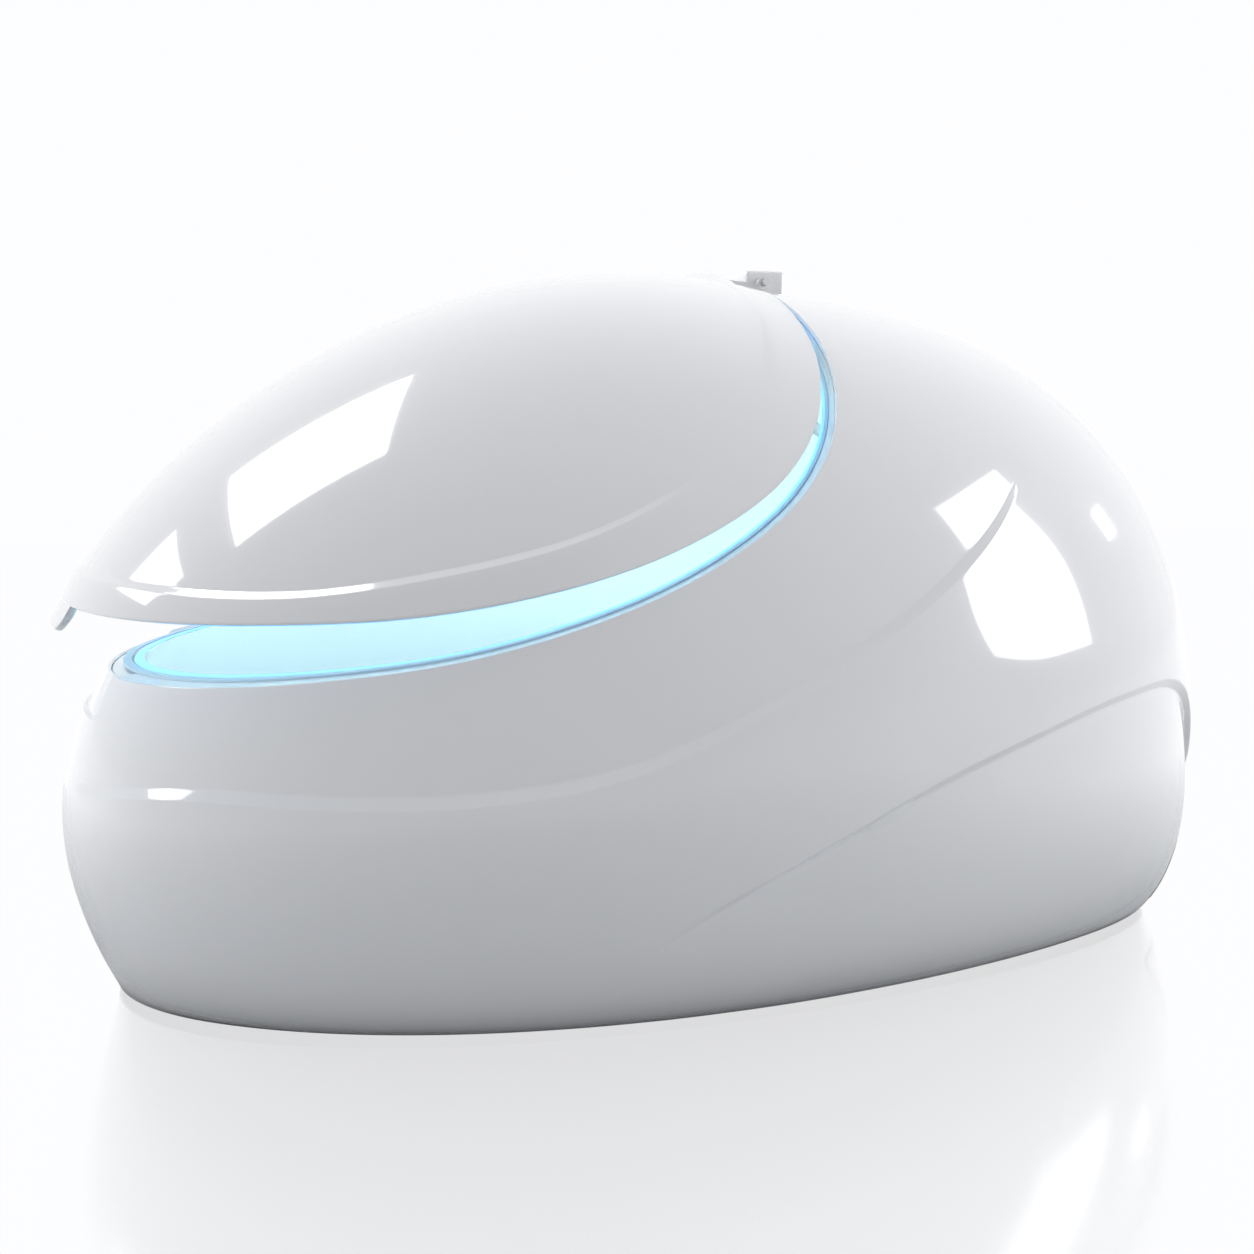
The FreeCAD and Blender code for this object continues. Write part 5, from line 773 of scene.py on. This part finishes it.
# ================================================================ canopy
@dataclass
class Canopy:
    """Lid: outer skin with its crease, cabin lining, closing tongue and the cowl over the hinge arms."""

    lines: Lines
    relief_height: float = 0.006
    reach: float = 0.090
    fade_to: float = 0.0
    fade_length: float = 0.260
    lip_radius: float = 0.0026
    tongue_half_width: float = 0.294
    tongue_drop: float = 0.050
    tongue_thickness: float = 0.013
    tongue_radius: float = 0.035
    tongue_edge: float = 0.004
    tongue_proud: float = 0.0002
    cowl_centre: float = 0.084
    cowl_size: tuple[float, float, float] = (0.100, 0.125, 0.033)
    cowl_wall: float = 0.005
    cowl_room: float = 0.012
    cowl_seat: tuple[tuple[float, float], tuple[float, float]] = ((-0.026, -0.014), (-0.0015, 0.0012))

    def relief(self, levels: np.ndarray) -> np.ndarray:
        """How far the lid stands out below its crease."""
        lines = self.lines
        below = np.sign(lines.lid_top - levels) * lines.along(levels, lines.lid_top)
        foot = np.minimum(levels, lines.lid_foot)
        fall = 1 - smooth_step(lines.along(foot, lines.lid_foot) / self.reach)
        start = self.fade_to * HALF_LENGTH - self.fade_length
        strength = 1 - lines.fade(lines.lid_top, start, self.fade_length)
        return self.relief_height * strength * soft_ramp(below / lines.lid_band) * fall

    def face(self, levels: np.ndarray, inward: float = 0.0) -> np.ndarray:
        """Row of points on the outer face, or a distance inside it."""
        angles = self.lines.angles
        out = HULL.normal(angles, levels)
        return HULL.point(angles, levels) + out * (self.relief(levels) - inward)[:, None]

    def build(self) -> None:
        """Makes every piece of the lid, turned to its rest position."""
        self._skin()
        self._lining()
        self._tongue()
        self._cowl()

    def _skin(self) -> bpy.types.Object:
        """Outer skin with its rounded free edge."""
        lines, angles = self.lines, self.lines.angles
        near_crown = np.full_like(lines.rim, CROWN_SHARE)
        near_edge = lines.stepped(HULL, lines.lid_edge, self.lip_radius)
        rows = [self.face(level, LID_WALL) for level in strip(near_crown, near_edge, graded(16))]
        out, up = HULL.normal(angles, lines.lid_edge), unit(HULL.upward(angles, lines.lid_edge))
        rows += lip(self.face(lines.lid_edge), out, -up, LID_WALL, self.lip_radius)[::-1]
        levels = strip(near_edge, lines.lid_foot, graded(16))
        levels += strip(lines.lid_foot, lines.lid_top, np.linspace(0, 1, 12))[1:-1]
        levels += strip(lines.lid_top, near_crown, graded(56))
        rows += [self.face(level) for level in levels]
        crown = HULL.point(np.zeros(1), np.ones(1))[0]
        canopy = Loft([lid_turned(row) for row in rows], first_tip=lid_turned(crown - [0, 0, LID_WALL]),
                      last_tip=lid_turned(crown)).build("canopy_skin", WHITE_GELCOAT)
        return settle(canopy, "lid", "gelcoat", "lid_shell")

    def _lining(self) -> bpy.types.Object:
        """Cabin-side skin with the flat edge that carries the light strip."""
        lines, angles = self.lines, self.lines.angles
        near_crown = np.full_like(lines.rim, 0.99)
        outer = self.face(lines.lid_edge, LID_WALL + EDGE_GAP)
        up = unit(HULL.upward(angles, lines.lid_edge))
        inner = CABIN.point(angles, lines.liner_edge)
        across = unit(outer - inner)
        radius = self.lip_radius * 2
        wall_up = unit(CABIN.upward(angles, lines.liner_edge))
        rows = [CABIN.point(angles, level) for level in
                strip(near_crown, lines.stepped(CABIN, lines.liner_edge, radius), graded(40))[:-1]]
        for turn in np.linspace(0, 1, 7):
            start, end = inner + wall_up * radius, inner + across * radius
            rows.append((1 - turn) ** 2 * start + 2 * turn * (1 - turn) * inner + turn ** 2 * end)
        for share in np.linspace(0, 1, 8)[1:]:
            rows.append(inner + across * radius + (outer - inner - across * radius) * share)
        rows.append(outer + up * LINER_WALL)
        back = lines.stepped(CABIN, lines.liner_edge, LINER_WALL * 2)
        for level in strip(back, near_crown, graded(20)):
            rows.append(CABIN.point(angles, level) + CABIN.normal(angles, level) * LINER_WALL)
        crown = CABIN.point(np.zeros(1), np.ones(1))[0]
        lining = Loft([lid_turned(row) for row in rows], first_tip=lid_turned(crown),
                      last_tip=lid_turned(crown + [0, 0, LINER_WALL])).build("canopy_lining", CABIN_GELCOAT)
        return settle(lining, "lid", "liner", "lid_liner")

    def _tongue(self) -> bpy.types.Object:
        """Closing tongue under the nose of the lid, in one sweep with its outer face."""
        lines = self.lines
        half = len(lines.angles) // 2
        columns = 97
        y = self.tongue_half_width * np.sin(np.linspace(-pi / 2, pi / 2, columns))
        near = slice(half - 130, half + 131)
        edge = HULL.point(lines.angles, lines.lid_edge)[near]
        angle = np.interp(-y, -edge[:, 1], lines.angles[near])
        level = np.interp(angle, lines.angles[near], lines.lid_edge[near])
        out_there = np.interp(angle, lines.angles[near], self.relief(lines.lid_edge)[near])
        per_metre = 1 / np.linalg.norm(HULL.upward(angle, level), axis=1)
        corner = np.clip(np.abs(y) - (self.tongue_half_width - self.tongue_radius), 0, self.tongue_radius)
        drop = self.tongue_drop - self.tongue_radius + np.sqrt(self.tongue_radius ** 2 - corner ** 2)
        edge_round, proud = self.tongue_edge, self.tongue_proud
        back = self.tongue_thickness

        def grid(inset: np.ndarray, depth: np.ndarray) -> np.ndarray:
            """One row of the tongue's section: how far down from the lid's edge and how far inside."""
            there = level - inset * per_metre
            return HULL.point(angle, there) + HULL.normal(angle, there) * (out_there - depth)[:, None]

        flat = np.ones(columns)
        rows = [grid(drop * share - edge_round, proud * flat) for share in np.linspace(0, 1, 12)]
        for turn in np.linspace(0, pi / 2, 6)[1:]:
            rows.append(grid(drop - edge_round * (1 - sin(turn)), flat * (proud + edge_round * (1 - cos(turn)))))
        for turn in np.linspace(0, pi / 2, 6):
            rows.append(grid(drop - edge_round * (1 - cos(turn)), flat * (back - edge_round * (1 - sin(turn)))))
        rows += [grid(drop * share - edge_round, back * flat) for share in np.linspace(0.9, 0, 8)]
        count = len(rows)
        points = np.concatenate(rows)
        starts = [row * columns for row in range(count)]
        faces = [(low + j, low + j + 1, high + j + 1, high + j)
                 for low, high in zip(starts, starts[1:] + starts[:1]) for j in range(columns - 1)]
        faces.append(starts)
        faces.append([start + columns - 1 for start in reversed(starts)])
        tongue = new_piece("closing_tongue", lid_turned(points), faces, WHITE_GELCOAT)
        return settle(tongue, "lid", "gelcoat", "lid_tongue")

    def _cowl(self) -> bpy.types.Object:
        """Low flared cowl on the crown over the hinge arms, open to the rear."""
        centre, wall = self.cowl_centre, self.cowl_wall
        length, width, height = self.cowl_size
        rear = HINGE[0] - BLOCK_FRONT - self.cowl_room
        seat_from, seat_heights = self.cowl_seat
        seat_places = [rear + ahead for ahead in seat_from]
        around = np.linspace(0, 2 * pi, 160, endpoint=False)
        shares = graded(26, both=False)

        def crown_height(x: np.ndarray, y: np.ndarray) -> np.ndarray:
            """Height of the hull's crown over a place in plan."""
            angle = np.arctan2(y / 0.446 / HALF_WIDTH, x / 0.38 / HALF_LENGTH)
            level = np.full_like(x, 0.97)
            for _ in range(40):
                place = HULL.point(angle, level)
                wanted, got = np.hypot(x, y), np.hypot(place[..., 0], place[..., 1])
                level = np.clip(1 - (1 - level) * (wanted / np.maximum(got, 1e-9)) ** 0.9, 0.5, 1 - 1e-9)
                angle = angle + np.arctan2(y, x) - np.arctan2(place[..., 1], place[..., 0])
            return HULL.point(angle, level)[..., 2]

        def ring(share: float, sink: float) -> np.ndarray:
            """Ring of the cowl's face at a share of its footprint, sunk by a distance."""
            x = np.minimum(centre + length * share * np.cos(around), rear)
            y = width * share * np.sin(around)
            reach = np.hypot((x - centre) / length, y / width)
            rise = height * (1 - smooth_step(reach)) ** 0.8
            base = crown_height(x, y)
            seat = np.interp(x, seat_places, seat_heights)
            return np.stack([x, y, base + np.maximum(rise - sink, seat)], -1)

        rows = [ring(share, wall) for share in shares[1:]] + [ring(share, 0.0) for share in shares[:0:-1]]
        tip = ring(0.0, 0.0)[0]
        cowl = Loft([lid_turned(row[::-1]) for row in rows[::-1]], first_tip=lid_turned(tip),
                    last_tip=lid_turned(tip - [0, 0, wall])).build("hinge_cowl", WHITE_GELCOAT)
        return settle(cowl, "lid", "gelcoat", "hinge_fairing")


# ================================================================ pieces carried over from the frame
@dataclass
class CarriedParts:
    """Hardware that keeps its own solids and gets a finish."""

    finishes: dict[Finish, tuple[str, ...]] = field(default_factory=lambda: {
        WHITE_GELCOAT: ("hinge_block", "hinge_arms"),
        PLINTH_BLACK: ("plinth",),
        FRAME_COAT: ("base_frame", "hull_brackets", "equipment_tray", "panel_clips"),
        BRUSHED_STEEL: ("panel_screws", "hinge_pin", "strut_studs_lid", "strut_studs_tub", "grab_handle"),
        BRIGHT_STEEL: ("strut_rod_near", "strut_rod_far", "strut_cylinder_near", "strut_cylinder_far", "steriliser",
                       "heater"),
        FOOT_RUBBER: ("levelling_feet",),
        # The rim seal's pale blue finish is painted glow from the cabin's blue light.
        SEAL_PAINTED_BLUE_GLOW: ("rim_seal",),
        LIGHT_STRIP: ("rim_light", "lid_light"),
        LAMP_LENS: ("tub_light_lenses",),
        PIPE_PVC: ("pipe_filter_to_steriliser", "pipe_pump_to_filter", "pipe_return", "pipe_steriliser_to_heater",
                   "pipe_suction", "pipe_waste", "drain_valve"),
        HOUSING_GREY: ("filter_housing", "floor_fittings", "floor_grilles", "tub_light_housings", "vent_grille",
                       "button_panel", "light_button", "control_box_lid"),
        HOUSING_DARK: ("control_box", "filter_cap", "vent_fan_housing", "vent_fan_rotor", "power_gland",
                       "sound_exciters", "pump_impeller"),
        PUMP_CAST: ("pump_motor", "pump_volute"),
        BUSH_BRONZE: ("hinge_bushes",),
        FILTER_CLOTH: ("filter_cartridge",),
        CALL_RED: ("call_button", "drain_valve_handle"),
    })

    def build(self) -> None:
        """Dresses every node that still shows."""
        for finish, names in self.finishes.items():
            material = finish.material()
            for name in names:
                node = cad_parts[name]
                for index in range(max(len(node.data.materials), 1)):
                    if index < len(node.data.materials):
                        node.data.materials[index] = material
                    else:
                        node.data.materials.append(material)
                LOG.info("%s: dressed as %s", name, finish.name)


# ================================================================ studio
@dataclass(frozen=True)
class SoftBox:
    """Rectangular studio lamp."""

    name: str
    place: tuple[float, float, float]
    target: tuple[float, float, float]
    width: float
    height: float
    brightness: float
    lights_walls: bool = False
    in_gloss: bool = True
    colour: Colour = (1.0, 1.0, 1.0)

    def build(self) -> None:
        """Makes the lamp, aimed at its target."""
        data = bpy.data.lights.new(self.name, "AREA")
        data.shape = "RECTANGLE"
        data.size, data.size_y = self.width, self.height
        data.energy = self.brightness * pi * self.width * self.height
        data.color = self.colour
        lamp = bpy.data.objects.new(self.name, data)
        aim = (Vector(self.target) - Vector(self.place)).to_track_quat("-Z", "Y")
        lamp.matrix_world = Matrix.LocRotScale(Vector(self.place), aim, None)
        lamp.visible_diffuse = self.lights_walls
        lamp.visible_glossy = self.in_gloss
        bpy.context.scene.collection.objects.link(lamp)


@dataclass(frozen=True)
class SkyLobe:
    """Soft light that comes mostly from one side of the surroundings."""

    axis: tuple[float, float, float]
    strength: float
    start: float = 0.0


@dataclass
class Studio:
    """Pale glossy floor, white surroundings, soft lamps and the camera."""

    azimuth: float = 11.665
    elevation: float = 7.798
    distance: float = 2.586
    target: tuple[float, float, float] = (-0.0895, 0.0, 0.7028)
    focal_pixels: float = 1192.9
    image_size: float = 1254.0
    floor_half: float = 14.0
    floor_lift: float = 1.10
    far_floor: tuple[float, float] = (1.3, 3.2)
    floor_gloss: float = 0.34
    floor_roughness: float = 0.13
    floor_colour: Colour = (0.56, 0.565, 0.575)
    backdrop_colour: Colour = (0.985, 0.988, 1.0)
    sky_colour: Colour = (0.965, 0.980, 1.0)
    even_light: float = 0.03
    lobes: tuple[SkyLobe, ...] = (
        SkyLobe((-1.0, 0.0, 0.0), 2.00, 0.45),
        SkyLobe((1.0, 0.0, 0.0), 4.30, 0.45),
        SkyLobe((0.0, 0.0, 1.0), 0.06, 0.30),
        SkyLobe((-0.707, 0.707, 0.0), 1.70, 0.30),
    )
    lamps: tuple[SoftBox, ...] = (
        SoftBox("key_overhead", (0.0, 0.6, 4.2), (0.0, 0.0, 0.7), 4.0, 2.6, 1.95, lights_walls=True, in_gloss=False),
        SoftBox("box_foot", (-2.75, 0.18, 3.82), (-0.71, -0.50, 1.06), 1.75, 1.85, 7.0),
        SoftBox("strip_foot", (-3.90, 0.67, 2.35), (-0.97, -0.47, 0.87), 1.15, 0.80, 3.6),
        SoftBox("box_head", (3.70, -1.35, 1.90), (0.48, -0.58, 0.88), 1.15, 2.10, 4.4),
        SoftBox("spot_head", (4.06, 0.27, 1.86), (0.76, -0.43, 0.94), 0.27, 0.33, 7.0),
        SoftBox("cabin_glow", (-0.15, 0.0, 0.40), (-0.15, 0.0, 1.40), 1.10, 0.35, 7.5, lights_walls=True,
                in_gloss=False, colour=(0.68, 0.95, 1.0)),
    )

    def build(self) -> None:
        """Sets up the floor, the world, the lamps and the camera."""
        self._floor()
        self._world()
        for lamp in self.lamps:
            lamp.build()
        self._camera()
        bpy.context.scene.view_settings.view_transform = "Standard"

    def _floor(self) -> None:
        """Large polished floor."""
        half = self.floor_half
        points = [(x * half, y * half, 0.0) for x, y in ((-1, -1), (1, -1), (1, 1), (-1, 1))]
        mesh = bpy.data.meshes.new("studio_floor")
        mesh.from_pydata(points, [], [(0, 1, 2, 3)])
        floor = bpy.data.objects.new("studio_floor", mesh)
        bpy.context.scene.collection.objects.link(floor)
        material = bpy.data.materials.new("floor_polish")
        material.use_nodes = True
        nodes, links = material.node_tree.nodes, material.node_tree.links
        nodes.clear()
        out = nodes.new("ShaderNodeOutputMaterial")
        chalk, white = nodes.new("ShaderNodeBsdfDiffuse"), nodes.new("ShaderNodeEmission")
        polish = nodes.new("ShaderNodeBsdfGlossy")
        chalk.inputs["Color"].default_value = (*self.floor_colour, 1.0)
        white.inputs["Color"].default_value = (*self.backdrop_colour, 1.0)
        white.inputs["Strength"].default_value = self.floor_lift
        polish.inputs["Roughness"].default_value = self.floor_roughness
        ripple = nodes.new("ShaderNodeTexNoise")
        ripple.inputs["Scale"].default_value = 2.2
        ripple.inputs["Detail"].default_value = 3.0
        bump = nodes.new("ShaderNodeBump")
        bump.inputs["Strength"].default_value = 0.06
        bump.inputs["Distance"].default_value = 0.01
        links.new(ripple.outputs["Fac"], bump.inputs["Height"])
        links.new(bump.outputs["Normal"], polish.inputs["Normal"])
        path = nodes.new("ShaderNodeLightPath")
        share, shine, far = (nodes.new("ShaderNodeMath") for _ in range(3))
        share.operation, shine.operation, far.operation = "MAXIMUM", "MULTIPLY", "MULTIPLY"
        reach, spread = nodes.new("ShaderNodeVectorMath"), nodes.new("ShaderNodeMapRange")
        reach.operation = "LENGTH"
        links.new(nodes.new("ShaderNodeTexCoord").outputs["Object"], reach.inputs[0])
        links.new(reach.outputs["Value"], spread.inputs["Value"])
        spread.inputs["From Min"].default_value, spread.inputs["From Max"].default_value = self.far_floor
        links.new(spread.outputs["Result"], far.inputs[0])
        links.new(path.outputs["Is Glossy Ray"], far.inputs[1])
        links.new(path.outputs["Is Camera Ray"], share.inputs[0])
        links.new(far.outputs["Value"], share.inputs[1])
        shine.inputs[1].default_value = self.floor_gloss
        links.new(path.outputs["Is Camera Ray"], shine.inputs[0])
        base, finished = nodes.new("ShaderNodeMixShader"), nodes.new("ShaderNodeMixShader")
        links.new(share.outputs["Value"], base.inputs["Fac"])
        links.new(chalk.outputs["BSDF"], base.inputs[1])
        links.new(white.outputs["Emission"], base.inputs[2])
        links.new(shine.outputs["Value"], finished.inputs["Fac"])
        links.new(base.outputs["Shader"], finished.inputs[1])
        links.new(polish.outputs["BSDF"], finished.inputs[2])
        links.new(finished.outputs["Shader"], out.inputs["Surface"])
        mesh.materials.append(material)

    def _world(self) -> None:
        """Soft pale light from the sky lobes, and plain white where the camera, gloss or glass looks."""
        world = bpy.data.worlds.new("studio_world")
        bpy.context.scene.world = world
        world.use_nodes = True
        nodes, links = world.node_tree.nodes, world.node_tree.links
        nodes.clear()
        out = nodes.new("ShaderNodeOutputWorld")
        soft, white = nodes.new("ShaderNodeBackground"), nodes.new("ShaderNodeBackground")
        soft.inputs["Color"].default_value = (*self.sky_colour, 1.0)
        white.inputs["Color"].default_value = (*self.backdrop_colour, 1.0)
        white.inputs["Strength"].default_value = 1.0
        place = nodes.new("ShaderNodeTexCoord").outputs["Generated"]
        total = nodes.new("ShaderNodeValue").outputs["Value"]
        total.default_value = self.even_light
        for lobe in self.lobes:
            along, reach, sum_up = (nodes.new(kind) for kind in
                                    ("ShaderNodeVectorMath", "ShaderNodeMapRange", "ShaderNodeMath"))
            along.operation = "DOT_PRODUCT"
            along.inputs[1].default_value = lobe.axis
            links.new(place, along.inputs[0])
            reach.interpolation_type = "SMOOTHSTEP"
            reach.inputs["From Min"].default_value = lobe.start
            reach.inputs["To Max"].default_value = lobe.strength
            links.new(along.outputs["Value"], reach.inputs["Value"])
            links.new(total, sum_up.inputs[0])
            links.new(reach.outputs["Result"], sum_up.inputs[1])
            total = sum_up.outputs["Value"]
        links.new(total, soft.inputs["Strength"])
        mix = nodes.new("ShaderNodeMixShader")
        links.new(self._seen(nodes, links), mix.inputs["Fac"])
        links.new(soft.outputs["Background"], mix.inputs[1])
        links.new(white.outputs["Background"], mix.inputs[2])
        links.new(mix.outputs["Shader"], out.inputs["Surface"])

    @staticmethod
    def _seen(nodes: Any, links: Any) -> Any:
        """Socket that is 1 on camera, glossy and transmission rays, and 0 on the rays that light things."""
        path = nodes.new("ShaderNodeLightPath")
        socket = path.outputs["Is Camera Ray"]
        for name in ("Is Glossy Ray", "Is Transmission Ray"):
            either = nodes.new("ShaderNodeMath")
            either.operation = "MAXIMUM"
            links.new(socket, either.inputs[0])
            links.new(path.outputs[name], either.inputs[1])
            socket = either.outputs["Value"]
        return socket

    def _camera(self) -> None:
        """Camera at standing height in front of the near side."""
        data = bpy.data.cameras.new("studio_camera")
        camera = bpy.data.objects.new("studio_camera", data)
        bpy.context.scene.collection.objects.link(camera)
        turn, lift = radians(self.azimuth), radians(self.elevation)
        back = Vector((-sin(turn) * cos(lift), -cos(turn) * cos(lift), sin(lift)))
        camera.location = Vector(self.target) + back * self.distance
        camera.rotation_mode = "QUATERNION"
        camera.rotation_quaternion = (-back).to_track_quat("-Z", "Y")
        data.sensor_width = 36.0
        data.lens = self.focal_pixels / self.image_size * data.sensor_width
        data.clip_end = 100.0
        bpy.context.scene.camera = camera


def main() -> None:
    """Builds the tank and its studio, in order."""
    logging.basicConfig(level=logging.INFO, format="%(message)s")
    lines = Lines()
    hull = HullBody(lines)
    hull.skin()
    ServiceDoor(hull).build()
    BathTub(lines).build()
    Canopy(lines).build()
    CarriedParts().build()
    Studio().build()


if __name__ == "__main__":
    main()
